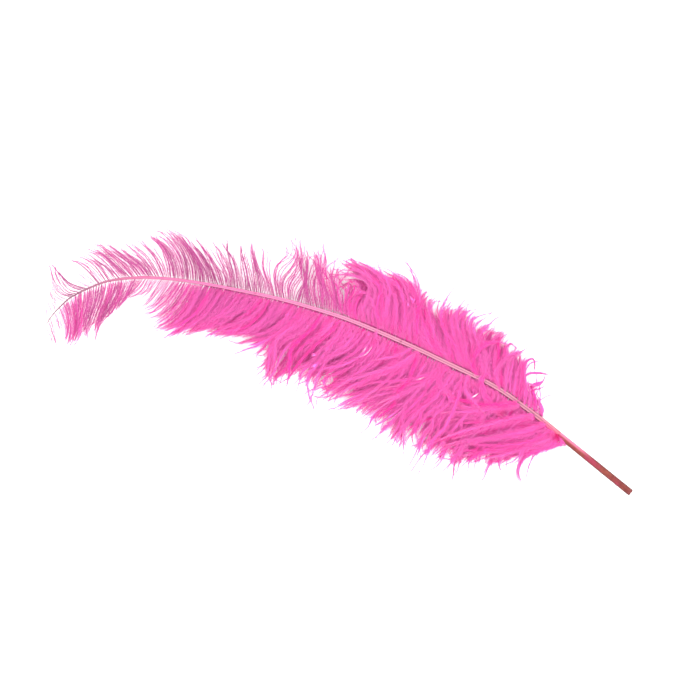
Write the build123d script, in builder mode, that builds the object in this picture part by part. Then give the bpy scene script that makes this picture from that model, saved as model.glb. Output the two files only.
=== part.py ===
from build123d import *
import math
import os

# A single dyed ostrich plume, lying on its convex back with the grooved face of its shaft up.
# Millimetres, +Z up. The origin is the centre of the cut end of the quill, and the quill runs
# away from it along QUILL_DIR. The shaft leaves the quill, bends through one long curve and
# lifts at its tip; the barbs leave both sides of the shaft and hang down to the surface.
os.makedirs("parts", exist_ok=True)

# ---- driving dimensions -------------------------------------------------------------------
QUILL_DIR = (-0.777346, 0.629073)  # plan direction of the quill, from its cut end to the shaft
QUILL_LENGTH = 58.0               # bare quill, cut end to the start of the shaft
QUILL_OD = 4.7
QUILL_WALL = 0.50                 # at the open end, which is reamed for a stub of wire
QUILL_REAM = 14.0                 # depth of the reamed end
QUILL_INNER_WALL = 0.72           # beyond it, where the dry inner skin is still in place
QUILL_PLUG = 4.0                  # solid keratin where the tube closes against the shaft
CAP_COUNT = 8                     # dried pulp caps stacked in the tube
CAP_PITCH = 4.9
CAP_FIRST = 16.0                  # first cap, measured from the cut end
CAP_SKIN = 0.15
CAP_RISE = 0.9
CAP_CLEAR = 0.02

SHAFT_HEIGHT_ROOT = 0.98          # height of the shaft as a share of its width, at the quill
SHAFT_HEIGHT_TIP = 0.85           # and at the tip
CORTEX_SHARE = 0.15               # wall of the cortex as a share of the shaft's width
GROOVE_DEPTH = 0.07               # ventral groove, share of the height
PITH_CLEAR = 0.02
PITH_END = 2.5                    # solid keratin left at each flex joint

FLEX_NOSE = 1.04                  # radius of a flex joint's rounded nose, as a share of half the height
NOSE_RUN = 2.6                    # length past the joint that the nose is cut from
FLEX_CLEAR = 0.06                 # radial clearance of the nose in its seat
FLEX_LIP = 55.0                   # half angle of the seat, degrees

LOCK_ROOT_THICK = 1.5             # a lock of barbs, pressed to a blade
LOCK_TIP_THICK = 0.9
LOCK_GAP = 0.35                   # drawn in from each edge between neighbours
LOCK_FLEX_GAP = 0.9               # the same beside a flex joint
LOCK_TAPER = 0.62                 # width left at the free end

# Shaft stations: x, y, z of its axis, and its width. Each list runs from the quill to the tip
# and ends on the flex joint that the next one starts from.
SHAFT_LOWER = [
    (-45.09, 36.49, 0.00, 3.60), (-54.20, 44.15, 0.22, 4.30), (-63.39, 51.72, 0.91, 4.02),
    (-72.91, 58.87, 1.84, 3.74), (-82.54, 65.88, 2.95, 3.65), (-92.51, 72.39, 4.25, 3.60),
    (-103.02, 77.99, 5.41, 3.56),
]
SHAFT_MIDDLE = [
    (-103.02, 77.99, 5.41, 3.56), (-113.71, 83.09, 6.44, 3.53), (-124.42, 88.14, 7.15, 3.50),
    (-135.10, 93.26, 7.62, 3.48), (-145.81, 98.30, 8.00, 3.45), (-156.62, 103.14, 8.32, 3.40),
    (-167.47, 107.89, 8.61, 3.34), (-178.37, 112.51, 8.86, 3.27), (-189.36, 116.92, 9.05, 3.19),
    (-200.51, 120.92, 9.26, 3.10), (-211.82, 124.44, 9.54, 3.00),
]
SHAFT_UPPER = [
    (-211.82, 124.44, 9.54, 3.00), (-222.67, 127.66, 9.93, 2.92), (-233.59, 130.68, 10.48, 2.84),
    (-244.59, 133.37, 11.16, 2.76), (-255.67, 135.74, 11.97, 2.67), (-266.78, 137.95, 12.89, 2.59),
    (-277.89, 140.18, 14.11, 2.51), (-289.03, 142.20, 15.60, 2.43), (-300.21, 144.03, 17.27, 2.36),
]
SHAFT_TIP = [
    (-300.21, 144.03, 17.27, 2.36), (-312.49, 145.56, 19.35, 2.30), (-324.85, 146.46, 21.81, 2.22),
    (-337.23, 146.45, 24.51, 2.10), (-349.55, 145.19, 27.40, 1.92), (-361.55, 142.21, 30.58, 1.70),
    (-372.86, 137.19, 33.98, 1.38), (-383.41, 130.76, 37.47, 1.06), (-392.02, 121.85, 41.15, 0.83),
    (-398.48, 111.32, 45.00, 0.50),
]

# Locks of barbs. Each has two edges, from the shaft to the free end, as x, y, z points at equal
# fractions of the edge. Outer locks leave the convex side of the curve, inner ones the hollow side.
OUTER_LOCKS = [
    # outer lock 01, on the root part of the shaft
    ([(-73.3, 62.3, 2.1), (-74.3, 67.7, 1.7), (-74.4, 73.2, 1.2), (-73.5, 78.5, 0.5), (-71.8, 83.7, -0.2), (-69.1, 88.5, -1.0), (-65.6, 92.6, -1.9)],
     [(-62.8, 54.6, 1.0), (-63.6, 59.3, 0.7), (-63.3, 64.1, 0.3), (-62.1, 68.7, -0.1), (-60.1, 73.0, -0.7), (-57.4, 77.0, -1.2), (-54.1, 80.4, -1.9)]),
    # outer lock 02, on the root part of the shaft
    ([(-86.9, 71.8, 3.7), (-87.6, 78.7, 3.2), (-88.6, 85.5, 2.4), (-89.4, 92.3, 1.5), (-89.5, 99.2, 0.5), (-88.5, 105.9, -0.6), (-86.0, 112.3, -1.9)],
     [(-73.3, 62.3, 2.1), (-74.3, 67.7, 1.7), (-74.4, 73.2, 1.2), (-73.5, 78.5, 0.5), (-71.8, 83.7, -0.2), (-69.1, 88.5, -1.0), (-65.6, 92.6, -1.9)]),
    # outer lock 03, on the root part of the shaft
    ([(-103.7, 81.1, 5.6), (-105.7, 88.8, 4.9), (-107.9, 96.4, 3.9), (-109.6, 104.1, 2.7), (-110.5, 112.0, 1.3), (-109.8, 119.9, -0.2), (-107.1, 127.3, -1.8)],
     [(-86.9, 71.8, 3.7), (-87.6, 78.7, 3.2), (-88.6, 85.5, 2.4), (-89.4, 92.3, 1.5), (-89.5, 99.2, 0.5), (-88.5, 105.9, -0.6), (-86.0, 112.3, -1.9)]),
    # outer lock 04, on the middle part of the shaft
    ([(-132.7, 94.7, 7.6), (-135.4, 102.6, 6.7), (-138.2, 110.4, 5.4), (-140.9, 118.3, 3.9), (-143.5, 126.2, 2.1), (-145.8, 134.2, 0.2), (-147.9, 142.3, -1.9)],
     [(-103.7, 81.1, 5.6), (-105.7, 88.8, 4.9), (-107.9, 96.4, 3.9), (-109.6, 104.1, 2.7), (-110.5, 112.0, 1.3), (-109.8, 119.9, -0.2), (-107.1, 127.3, -1.8)]),
    # outer lock 05, on the middle part of the shaft
    ([(-158.1, 106.4, 8.4), (-157.2, 115.1, 7.5), (-159.1, 123.7, 6.1), (-163.0, 131.6, 4.4), (-168.4, 138.5, 2.5), (-174.8, 144.6, 0.4), (-181.9, 149.7, -1.8)],
     [(-132.7, 94.7, 7.6), (-135.4, 102.6, 6.7), (-138.2, 110.4, 5.4), (-140.9, 118.3, 3.9), (-143.5, 126.2, 2.1), (-145.8, 134.2, 0.2), (-147.9, 142.3, -1.9)]),
    # outer lock 06, on the middle part of the shaft
    ([(-185.5, 117.8, 9.0), (-187.0, 122.6, 8.1), (-188.5, 127.4, 6.7), (-190.1, 132.1, 5.1), (-191.7, 136.8, 3.2), (-193.2, 141.6, 1.2), (-194.8, 146.3, -1.0)],
     [(-158.1, 106.4, 8.4), (-157.2, 115.1, 7.5), (-159.1, 123.7, 6.1), (-163.0, 131.6, 4.4), (-168.4, 138.5, 2.5), (-174.8, 144.6, 0.4), (-181.9, 149.7, -1.8)]),
    # outer lock 07, on the middle part of the shaft
    ([(-212.1, 126.9, 9.6), (-213.1, 133.8, 8.6), (-214.0, 140.8, 7.0), (-214.8, 147.8, 5.1), (-215.2, 154.8, 3.0), (-215.2, 161.8, 0.6), (-214.5, 168.8, -1.8)],
     [(-185.5, 117.8, 9.0), (-187.0, 122.6, 8.1), (-188.5, 127.4, 6.7), (-190.1, 132.1, 5.1), (-191.7, 136.8, 3.2), (-193.2, 141.6, 1.2), (-194.8, 146.3, -1.0)]),
    # outer lock 08, on the upper part of the shaft
    ([(-232.5, 132.5, 10.4), (-233.3, 140.3, 9.4), (-233.9, 148.1, 7.7), (-234.5, 155.9, 5.6), (-235.4, 163.7, 3.3), (-236.6, 171.4, 0.8), (-238.3, 179.0, -1.8)],
     [(-212.1, 126.9, 9.6), (-213.1, 133.8, 8.6), (-214.0, 140.8, 7.0), (-214.8, 147.8, 5.1), (-215.2, 154.8, 3.0), (-215.2, 161.8, 0.6), (-214.5, 168.8, -1.8)]),
    # outer lock 09, on the upper part of the shaft
    ([(-255.5, 137.8, 12.0), (-256.3, 144.3, 10.8), (-257.7, 150.7, 9.1), (-259.7, 156.9, 7.0), (-262.3, 162.9, 4.6), (-265.4, 168.7, 2.0), (-268.9, 174.2, -0.8)],
     [(-232.5, 132.5, 10.4), (-233.3, 140.3, 9.4), (-233.9, 148.1, 7.7), (-234.5, 155.9, 5.6), (-235.4, 163.7, 3.3), (-236.6, 171.4, 0.8), (-238.3, 179.0, -1.8)]),
    # outer lock 10, on the upper part of the shaft
    ([(-279.1, 142.4, 14.3), (-281.7, 149.2, 13.1), (-285.1, 155.6, 11.1), (-289.1, 161.6, 8.8), (-293.8, 167.1, 6.2), (-299.1, 172.0, 3.3), (-305.0, 176.3, 0.3)],
     [(-255.5, 137.8, 12.0), (-256.3, 144.3, 10.8), (-257.7, 150.7, 9.1), (-259.7, 156.9, 7.0), (-262.3, 162.9, 4.6), (-265.4, 168.7, 2.0), (-268.9, 174.2, -0.8)]),
    # outer lock 11, on the upper part of the shaft
    ([(-300.6, 146.0, 17.4), (-302.8, 153.0, 16.1), (-306.3, 159.5, 14.1), (-310.7, 165.4, 11.8), (-315.8, 170.7, 9.1), (-321.4, 175.4, 6.3), (-327.4, 179.7, 3.1)],
     [(-279.1, 142.4, 14.3), (-281.7, 149.2, 13.1), (-285.1, 155.6, 11.1), (-289.1, 161.6, 8.8), (-293.8, 167.1, 6.2), (-299.1, 172.0, 3.3), (-305.0, 176.3, 0.3)]),
    # outer lock 12, on the tip part of the shaft
    ([(-322.8, 148.2, 21.4), (-326.5, 154.2, 20.2), (-331.1, 159.5, 18.3), (-336.6, 164.0, 16.0), (-342.7, 167.6, 13.5), (-349.2, 170.3, 10.7), (-356.0, 172.2, 7.7)],
     [(-300.6, 146.0, 17.4), (-302.8, 153.0, 16.1), (-306.3, 159.5, 14.1), (-310.7, 165.4, 11.8), (-315.8, 170.7, 9.1), (-321.4, 175.4, 6.3), (-327.4, 179.7, 3.1)]),
    # outer lock 13, on the tip part of the shaft
    ([(-346.3, 147.2, 26.6), (-350.1, 151.8, 25.5), (-354.2, 156.1, 23.9), (-358.7, 159.9, 22.0), (-363.7, 163.1, 19.8), (-369.2, 165.2, 17.5), (-375.0, 166.1, 14.9)],
     [(-322.8, 148.2, 21.4), (-326.5, 154.2, 20.2), (-331.1, 159.5, 18.3), (-336.6, 164.0, 16.0), (-342.7, 167.6, 13.5), (-349.2, 170.3, 10.7), (-356.0, 172.2, 7.7)]),
    # outer lock 14, on the tip part of the shaft
    ([(-371.2, 140.4, 33.2), (-376.0, 142.2, 32.3), (-380.6, 144.3, 30.9), (-384.8, 147.0, 29.2), (-388.6, 150.4, 27.3), (-391.5, 154.5, 25.3), (-393.4, 159.3, 23.1)],
     [(-346.9, 148.0, 26.7), (-350.6, 152.4, 25.7), (-354.6, 156.6, 24.1), (-359.1, 160.2, 22.2), (-364.0, 163.2, 20.1), (-369.3, 165.3, 17.8), (-375.0, 166.1, 15.3)]),
    # outer lock 15, on the tip part of the shaft
    ([(-388.6, 128.5, 39.0), (-390.3, 130.2, 38.5), (-391.8, 132.1, 37.8), (-393.1, 134.1, 36.9), (-394.1, 136.3, 35.9), (-394.9, 138.6, 34.9), (-395.4, 140.9, 33.7)],
     [(-371.2, 140.4, 33.2), (-376.0, 142.2, 32.3), (-380.6, 144.3, 30.9), (-384.8, 147.0, 29.2), (-388.6, 150.4, 27.3), (-391.5, 154.5, 25.3), (-393.4, 159.3, 23.1)]),
    # outer lock 16, on the tip part of the shaft
    ([(-399.0, 114.4, 44.2), (-399.8, 115.6, 43.9), (-400.6, 116.8, 43.4), (-401.5, 117.9, 42.8), (-402.4, 119.0, 42.1), (-403.3, 120.1, 41.4), (-404.3, 121.2, 40.6)],
     [(-388.6, 128.5, 39.0), (-390.3, 130.2, 38.5), (-391.8, 132.1, 37.8), (-393.1, 134.1, 36.9), (-394.1, 136.3, 35.9), (-394.9, 138.6, 34.9), (-395.4, 140.9, 33.7)]),
]
INNER_LOCKS = [
    # inner lock 01, on the root part of the shaft
    ([(-67.0, 51.6, 1.1), (-70.3, 44.1, 0.8), (-74.7, 37.2, 0.4), (-79.7, 30.6, -0.1), (-84.8, 24.2, -0.6), (-89.6, 17.5, -1.2), (-93.5, 10.3, -1.8)],
     [(-51.3, 38.3, 0.0), (-53.6, 34.0, -0.2), (-57.2, 30.7, -0.4), (-61.4, 28.1, -0.7), (-65.8, 25.9, -1.1), (-70.3, 23.8, -1.4), (-74.5, 21.2, -1.9)]),
    # inner lock 02, on the root part of the shaft
    ([(-84.6, 64.7, 3.1), (-88.5, 54.8, 2.6), (-94.0, 45.6, 1.9), (-100.4, 37.1, 1.1), (-107.0, 28.6, 0.2), (-113.1, 19.9, -0.8), (-118.0, 10.3, -1.9)],
     [(-67.0, 51.6, 1.1), (-70.3, 44.1, 0.8), (-74.7, 37.2, 0.4), (-79.7, 30.6, -0.1), (-84.8, 24.2, -0.6), (-89.6, 17.5, -1.2), (-93.5, 10.3, -1.8)]),
    # inner lock 03, on the root part of the shaft
    ([(-103.9, 76.0, 5.4), (-108.7, 66.3, 4.8), (-114.5, 57.0, 3.8), (-120.9, 48.3, 2.6), (-127.8, 39.9, 1.2), (-135.0, 31.8, -0.3), (-142.5, 23.9, -1.8)],
     [(-84.6, 64.7, 3.1), (-88.5, 54.8, 2.6), (-94.0, 45.6, 1.9), (-100.4, 37.1, 1.1), (-107.0, 28.6, 0.2), (-113.1, 19.9, -0.8), (-118.0, 10.3, -1.9)]),
    # inner lock 04, on the middle part of the shaft
    ([(-132.2, 89.5, 7.5), (-137.7, 78.7, 6.6), (-145.8, 69.6, 5.3), (-155.1, 61.8, 3.8), (-164.6, 54.3, 2.1), (-173.4, 46.0, 0.2), (-180.5, 36.2, -1.8)],
     [(-103.9, 76.0, 5.4), (-108.9, 66.1, 4.8), (-114.7, 56.8, 3.8), (-121.1, 47.9, 2.6), (-128.2, 39.4, 1.2), (-135.8, 31.5, -0.3), (-143.8, 23.9, -1.8)]),
    # inner lock 05, on the middle part of the shaft
    ([(-159.6, 102.3, 8.4), (-164.9, 92.7, 7.5), (-171.8, 84.1, 6.1), (-179.8, 76.6, 4.4), (-188.6, 70.1, 2.5), (-198.0, 64.4, 0.4), (-207.7, 59.3, -1.8)],
     [(-132.2, 89.5, 7.5), (-137.7, 78.7, 6.6), (-145.8, 69.6, 5.3), (-155.1, 61.8, 3.8), (-164.6, 54.3, 2.1), (-173.4, 46.0, 0.2), (-180.5, 36.2, -1.8)]),
    # inner lock 06, on the middle part of the shaft
    ([(-185.7, 113.3, 9.0), (-192.3, 104.7, 8.0), (-200.3, 97.3, 6.5), (-209.0, 90.8, 4.7), (-218.2, 84.9, 2.7), (-227.4, 79.1, 0.5), (-236.3, 72.9, -1.8)],
     [(-159.6, 102.3, 8.4), (-164.9, 92.7, 7.5), (-171.8, 84.1, 6.1), (-179.8, 76.6, 4.4), (-188.6, 70.1, 2.5), (-198.0, 64.4, 0.4), (-207.7, 59.3, -1.8)]),
    # inner lock 07, on the middle part of the shaft
    ([(-213.3, 123.0, 9.6), (-220.8, 116.1, 8.5), (-228.8, 109.8, 7.0), (-236.9, 103.5, 5.1), (-244.0, 96.2, 3.0), (-248.4, 87.1, 0.6), (-248.5, 77.0, -1.8)],
     [(-185.7, 113.3, 9.0), (-192.3, 104.7, 8.0), (-200.3, 97.3, 6.5), (-209.0, 90.8, 4.7), (-218.2, 84.9, 2.7), (-227.4, 79.1, 0.5), (-236.3, 72.9, -1.8)]),
    # inner lock 08, on the upper part of the shaft
    ([(-233.2, 128.8, 10.4), (-238.0, 122.8, 9.3), (-243.6, 117.5, 7.6), (-249.8, 113.1, 5.6), (-256.7, 109.8, 3.3), (-264.1, 107.6, 0.8), (-271.7, 106.9, -1.8)],
     [(-213.3, 123.0, 9.6), (-218.1, 118.4, 8.5), (-223.3, 114.3, 7.0), (-228.7, 110.5, 5.1), (-234.6, 107.4, 3.0), (-240.7, 105.0, 0.6), (-247.2, 103.5, -1.8)]),
    # inner lock 09, on the upper part of the shaft
    ([(-255.0, 133.8, 11.9), (-260.2, 127.2, 10.7), (-266.3, 121.4, 8.8), (-273.1, 116.5, 6.5), (-280.5, 112.4, 3.9), (-288.2, 109.0, 1.1), (-296.1, 106.2, -1.8)],
     [(-233.2, 128.8, 10.4), (-238.0, 122.8, 9.3), (-243.6, 117.5, 7.6), (-249.8, 113.1, 5.6), (-256.7, 109.8, 3.3), (-264.1, 107.6, 0.8), (-271.7, 106.9, -1.8)]),
    # inner lock 10, on the upper part of the shaft
    ([(-277.4, 138.5, 14.0), (-282.5, 132.0, 12.6), (-287.8, 125.8, 10.4), (-293.7, 120.0, 7.8), (-300.3, 115.0, 4.9), (-307.4, 111.0, 1.7), (-315.2, 108.3, -1.8)],
     [(-255.0, 133.8, 11.9), (-260.2, 127.2, 10.7), (-266.3, 121.4, 8.8), (-273.1, 116.5, 6.5), (-280.5, 112.4, 3.9), (-288.2, 109.0, 1.1), (-296.1, 106.2, -1.8)]),
    # inner lock 11, on the upper part of the shaft
    ([(-300.9, 142.6, 17.3), (-304.2, 137.2, 16.2), (-308.1, 132.1, 14.5), (-312.5, 127.5, 12.4), (-317.4, 123.4, 10.1), (-322.9, 120.1, 7.6), (-328.8, 117.8, 4.9)],
     [(-277.4, 138.5, 14.0), (-282.5, 132.0, 12.6), (-287.8, 125.8, 10.4), (-293.7, 120.0, 7.8), (-300.3, 115.0, 4.9), (-307.4, 111.0, 1.7), (-315.2, 108.3, -1.8)]),
    # inner lock 12, on the tip part of the shaft
    ([(-330.3, 145.2, 23.0), (-331.9, 142.9, 22.4), (-333.7, 140.7, 21.6), (-335.6, 138.6, 20.6), (-337.7, 136.6, 19.4), (-339.9, 134.9, 18.2), (-342.4, 133.4, 16.8)],
     [(-300.9, 142.6, 17.3), (-304.2, 137.2, 16.2), (-308.1, 132.1, 14.5), (-312.5, 127.5, 12.4), (-317.4, 123.4, 10.1), (-322.9, 120.1, 7.6), (-328.8, 117.8, 4.9)]),
    # inner lock 13, on the tip part of the shaft
    ([(-349.6, 143.9, 27.4), (-351.7, 137.9, 26.3), (-354.2, 132.0, 24.6), (-356.7, 126.2, 22.6), (-359.2, 120.4, 20.3), (-361.3, 114.4, 17.7), (-362.8, 108.3, 15.0)],
     [(-334.3, 145.2, 23.9), (-336.7, 141.7, 23.1), (-339.3, 138.3, 21.9), (-341.9, 135.0, 20.5), (-344.6, 131.7, 18.9), (-347.0, 128.2, 17.1), (-349.2, 124.6, 15.2)]),
    # inner lock 14, on the tip part of the shaft
    ([(-365.7, 139.2, 32.0), (-366.8, 132.9, 30.8), (-367.9, 126.6, 29.1), (-369.3, 120.4, 27.1), (-370.9, 114.2, 24.7), (-372.8, 108.1, 22.2), (-375.0, 102.1, 19.5)],
     [(-349.6, 143.9, 27.4), (-351.7, 137.9, 26.3), (-354.2, 132.0, 24.6), (-356.7, 126.2, 22.6), (-359.2, 120.4, 20.3), (-361.3, 114.4, 17.7), (-362.8, 108.3, 15.0)]),
    # inner lock 15, on the tip part of the shaft
    ([(-377.8, 133.6, 35.7), (-378.2, 128.1, 34.7), (-378.4, 122.6, 33.2), (-378.7, 117.1, 31.4), (-379.2, 111.6, 29.4), (-379.9, 106.1, 27.1), (-381.1, 100.8, 24.8)],
     [(-365.7, 139.2, 32.0), (-366.8, 132.9, 30.8), (-367.9, 126.6, 29.1), (-369.3, 120.4, 27.1), (-370.9, 114.2, 24.7), (-372.8, 108.1, 22.2), (-375.0, 102.1, 19.5)]),
    # inner lock 16, on the tip part of the shaft
    ([(-388.4, 124.7, 39.8), (-387.3, 120.6, 39.0), (-386.3, 116.4, 37.8), (-385.5, 112.2, 36.4), (-385.1, 107.9, 34.7), (-385.2, 103.6, 33.0), (-385.9, 99.4, 31.1)],
     [(-377.8, 133.6, 35.7), (-378.2, 128.1, 34.7), (-378.4, 122.6, 33.2), (-378.7, 117.1, 31.4), (-379.2, 111.6, 29.4), (-379.9, 106.1, 27.1), (-381.1, 100.8, 24.8)]),
    # inner lock 17, on the tip part of the shaft
    ([(-397.1, 112.9, 44.4), (-396.1, 110.4, 43.8), (-395.3, 107.9, 43.0), (-394.6, 105.3, 42.1), (-394.0, 102.7, 41.0), (-393.6, 100.0, 39.8), (-393.4, 97.4, 38.5)],
     [(-388.4, 124.7, 39.8), (-387.3, 120.6, 39.0), (-386.3, 116.4, 37.8), (-385.5, 112.2, 36.4), (-385.1, 107.9, 34.7), (-385.2, 103.6, 33.0), (-385.9, 99.4, 31.1)]),
]


# ---- helpers ------------------------------------------------------------------------------
def plan_unit(dx, dy):
    """The unit vector in plan along dx, dy."""
    n = math.hypot(dx, dy)
    return dx / n, dy / n


def headings(stations, first=None):
    """The horizontal direction of travel at every station."""
    out = []
    for i in range(len(stations)):
        a = stations[max(i - 1, 0)]
        b = stations[min(i + 1, len(stations) - 1)]
        out.append(plan_unit(b[0] - a[0], b[1] - a[1]))
    if first is not None:
        out[0] = first
    return out


def cross_plane(x, y, z, heading):
    """An upright plane across the shaft: its normal runs along it, its local Y is up."""
    hx, hy = heading
    return Plane(origin=(x, y, z), x_dir=(-hy, hx, 0), z_dir=(hx, hy, 0))


def shaft_outline(w, h, groove):
    """Half-rounded section of the shaft with a shallow groove along its upper face."""
    a, b = w / 2, h / 2
    return [(-a, -0.45 * b), (-0.55 * a, -b), (0.55 * a, -b), (a, -0.45 * b), (a, 0.45 * b), (0.6 * a, b),
            (0.16 * a, b), (0, b - groove), (-0.16 * a, b), (-0.6 * a, b), (-a, 0.45 * b)]


def pith_outline(w, h):
    """Section of the spongy core."""
    a, b = w / 2, h / 2
    return [(-a, -0.4 * b), (-0.5 * a, -b), (0.5 * a, -b), (a, -0.4 * b), (a, 0.4 * b), (0.5 * a, b), (-0.5 * a, b), (-a, 0.4 * b)]


ALL = SHAFT_LOWER + SHAFT_MIDDLE[1:] + SHAFT_UPPER[1:] + SHAFT_TIP[1:]
RUN = [0.0]
for _i in range(1, len(ALL)):
    RUN.append(RUN[-1] + math.dist(ALL[_i][:2], ALL[_i - 1][:2]))
HEADING = headings(ALL, QUILL_DIR)
STATION = {p[:2]: i for i, p in enumerate(ALL)}


def height_of(p):
    """Height of the shaft at a station."""
    f = RUN[STATION[p[:2]]] / RUN[-1]
    return p[3] * (SHAFT_HEIGHT_ROOT + (SHAFT_HEIGHT_TIP - SHAFT_HEIGHT_ROOT) * f)


def heading_of(p):
    return HEADING[STATION[p[:2]]]


def trimmed(stations, start, end):
    """The stations with the first and last one drawn in along the shaft by start and end."""
    out = [tuple(p) for p in stations]
    heads = [heading_of(p) for p in stations]
    sizes = [height_of(p) for p in stations]
    for k, n, d in ((0, 1, start), (-1, -2, end)):
        a, b = stations[k], stations[n]
        f = d / math.dist(a[:3], b[:3])
        out[k] = tuple(a[j] + (b[j] - a[j]) * f for j in range(4))
        sizes[k] = sizes[k] + (sizes[n] - sizes[k]) * f
    return list(zip(out, heads, sizes))


def flex_axis_plane(p):
    """Plane whose normal is the flex joint's axis; local X runs along the shaft, local Y up."""
    hx, hy = heading_of(p)
    return Plane(origin=p[:3], x_dir=(hx, hy, 0), z_dir=(hy, -hx, 0))


# ---- quill --------------------------------------------------------------------------------
quill_plane = Plane(origin=(0, 0, 0), x_dir=(-QUILL_DIR[1], QUILL_DIR[0], 0), z_dir=(QUILL_DIR[0], QUILL_DIR[1], 0))
quill_bore_r = QUILL_OD / 2 - QUILL_WALL
quill_inner_r = QUILL_OD / 2 - QUILL_INNER_WALL

with BuildPart() as quill_tube:
    with BuildSketch(quill_plane):
        Circle(QUILL_OD / 2)
    extrude(amount=QUILL_LENGTH)
    with BuildSketch(quill_plane):
        Circle(quill_bore_r)
    extrude(amount=QUILL_REAM, mode=Mode.SUBTRACT)
    with BuildSketch(quill_plane):
        Circle(quill_inner_r)
    extrude(amount=QUILL_LENGTH - QUILL_PLUG, mode=Mode.SUBTRACT)
quill_tube.part.label = "quill_tube"
export_step(quill_tube.part, "parts/quill_tube.step")

cap_r = quill_inner_r - CAP_CLEAR
with BuildPart() as quill_pulp_caps:
    for n in range(CAP_COUNT):
        base = CAP_FIRST + n * CAP_PITCH
        with BuildSketch(Plane(origin=(QUILL_DIR[0] * base, QUILL_DIR[1] * base, 0),
                               x_dir=(0, 0, 1), z_dir=(-QUILL_DIR[1], QUILL_DIR[0], 0))):
            # local X is up from the axis of the quill, local Y runs along it
            Polygon((0, CAP_RISE), (0, CAP_RISE - CAP_SKIN), (0.35 * cap_r, 0.92 * CAP_RISE - CAP_SKIN),
                    (0.7 * cap_r, 0.6 * CAP_RISE - CAP_SKIN), (cap_r, -CAP_SKIN), (cap_r, 0),
                    (0.7 * cap_r, 0.6 * CAP_RISE), (0.35 * cap_r, 0.92 * CAP_RISE), align=None)
        revolve(axis=Axis((0, 0, 0), (QUILL_DIR[0], QUILL_DIR[1], 0)), revolution_arc=360)
quill_pulp_caps.part.label = "quill_pulp_caps"
export_step(quill_pulp_caps.part, "parts/quill_pulp_caps.step")

# ---- shaft --------------------------------------------------------------------------------
SEGMENTS = [("lower", SHAFT_LOWER, False, True), ("middle", SHAFT_MIDDLE, True, True),
            ("upper", SHAFT_UPPER, True, True), ("tip", SHAFT_TIP, True, False)]

for seg, stations, seat, nose in SEGMENTS:
    # the spongy core stops short of each flex joint, and of the quill and the tip
    cored = stations if nose else stations[:-2]
    core = trimmed(cored, PITH_END, PITH_END)
    with BuildPart() as cortex:
        for p, head, h in (trimmed(stations, 0, -NOSE_RUN) if nose else trimmed(stations, 0, 0)):
            with BuildSketch(cross_plane(p[0], p[1], p[2], head)):
                Polygon(*shaft_outline(p[3], h, GROOVE_DEPTH * h), align=None)
        loft(ruled=True)
        if nose:
            # rounded nose about the joint's axis, cut from a short run past it
            p = stations[-1]
            r = FLEX_NOSE * height_of(p) / 2
            with BuildSketch(flex_axis_plane(p).offset(-p[3])):
                with Locations((1.5 * r, 0)):
                    Rectangle(3 * r, 6 * r)
                Circle(r, mode=Mode.SUBTRACT)
            extrude(amount=2 * p[3], mode=Mode.SUBTRACT)
        if seat:
            # hollow seat for the nose of the part before, with lips that leave room to bend
            p = stations[0]
            r = FLEX_NOSE * height_of(p) / 2
            reach = 3 * r
            with BuildSketch(flex_axis_plane(p).offset(-p[3])):
                Circle(r + FLEX_CLEAR)
            extrude(amount=2 * p[3], mode=Mode.SUBTRACT)
            lip = reach / math.tan(math.radians(FLEX_LIP))
            for up in (1, -1):
                with BuildSketch(flex_axis_plane(p).offset(-p[3])):
                    Polygon((0, 0), (lip, up * reach), (-reach, up * reach), (-reach, 0), align=None)
                extrude(amount=2 * p[3], mode=Mode.SUBTRACT)
        for p, head, h in core:
            wall = CORTEX_SHARE * p[3]
            with BuildSketch(cross_plane(p[0], p[1], p[2], head)):
                Polygon(*pith_outline(p[3] - 2 * wall, h - 2 * wall - 2 * GROOVE_DEPTH * h), align=None)
        loft(ruled=True, mode=Mode.SUBTRACT)
    cortex.part.label = "shaft_cortex_" + seg
    export_step(cortex.part, "parts/shaft_cortex_" + seg + ".step")

    inner_core = trimmed(cored, PITH_END + PITH_CLEAR, PITH_END + PITH_CLEAR)
    with BuildPart() as pith:
        for p, head, h in inner_core:
            wall = CORTEX_SHARE * p[3] + PITH_CLEAR
            with BuildSketch(cross_plane(p[0], p[1], p[2], head)):
                Polygon(*pith_outline(p[3] - 2 * wall, h - 2 * wall - 2 * GROOVE_DEPTH * h), align=None)
        loft(ruled=True)
    pith.part.label = "shaft_pith_" + seg
    export_step(pith.part, "parts/shaft_pith_" + seg + ".step")

# ---- locks of barbs -----------------------------------------------------------------------
FLEX_EDGES = [SHAFT_LOWER[-1][:2], SHAFT_MIDDLE[-1][:2], SHAFT_UPPER[-1][:2]]


def beside_flex(edge):
    """True for an edge whose root is at a flex joint."""
    return any(math.dist(edge[0][:2], f) < 3.0 for f in FLEX_EDGES)


def lock_sections(first, second):
    """Upright rectangles across a lock, from its root to its free end: plane, width, thickness."""
    gap_a = LOCK_FLEX_GAP if beside_flex(first) else LOCK_GAP
    gap_b = LOCK_FLEX_GAP if beside_flex(second) else LOCK_GAP
    last = len(first) - 1
    out = []
    for i, (a, b) in enumerate(zip(first, second)):
        span = math.dist(a[:2], b[:2])
        ux, uy = plan_unit(b[0] - a[0], b[1] - a[1])
        width = span - gap_a - gap_b
        shift = gap_a + width / 2
        cx, cy, cz = a[0] + ux * shift, a[1] + uy * shift, (a[2] + b[2]) / 2
        if i == last:
            width *= LOCK_TAPER
        thick = LOCK_ROOT_THICK + (LOCK_TIP_THICK - LOCK_ROOT_THICK) * i / last
        # local X runs across the lock and local Y is up, so the normal is their cross product
        out.append((Plane(origin=(cx, cy, cz), x_dir=(ux, uy, 0), z_dir=(uy, -ux, 0)), width, thick))
    return out


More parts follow.
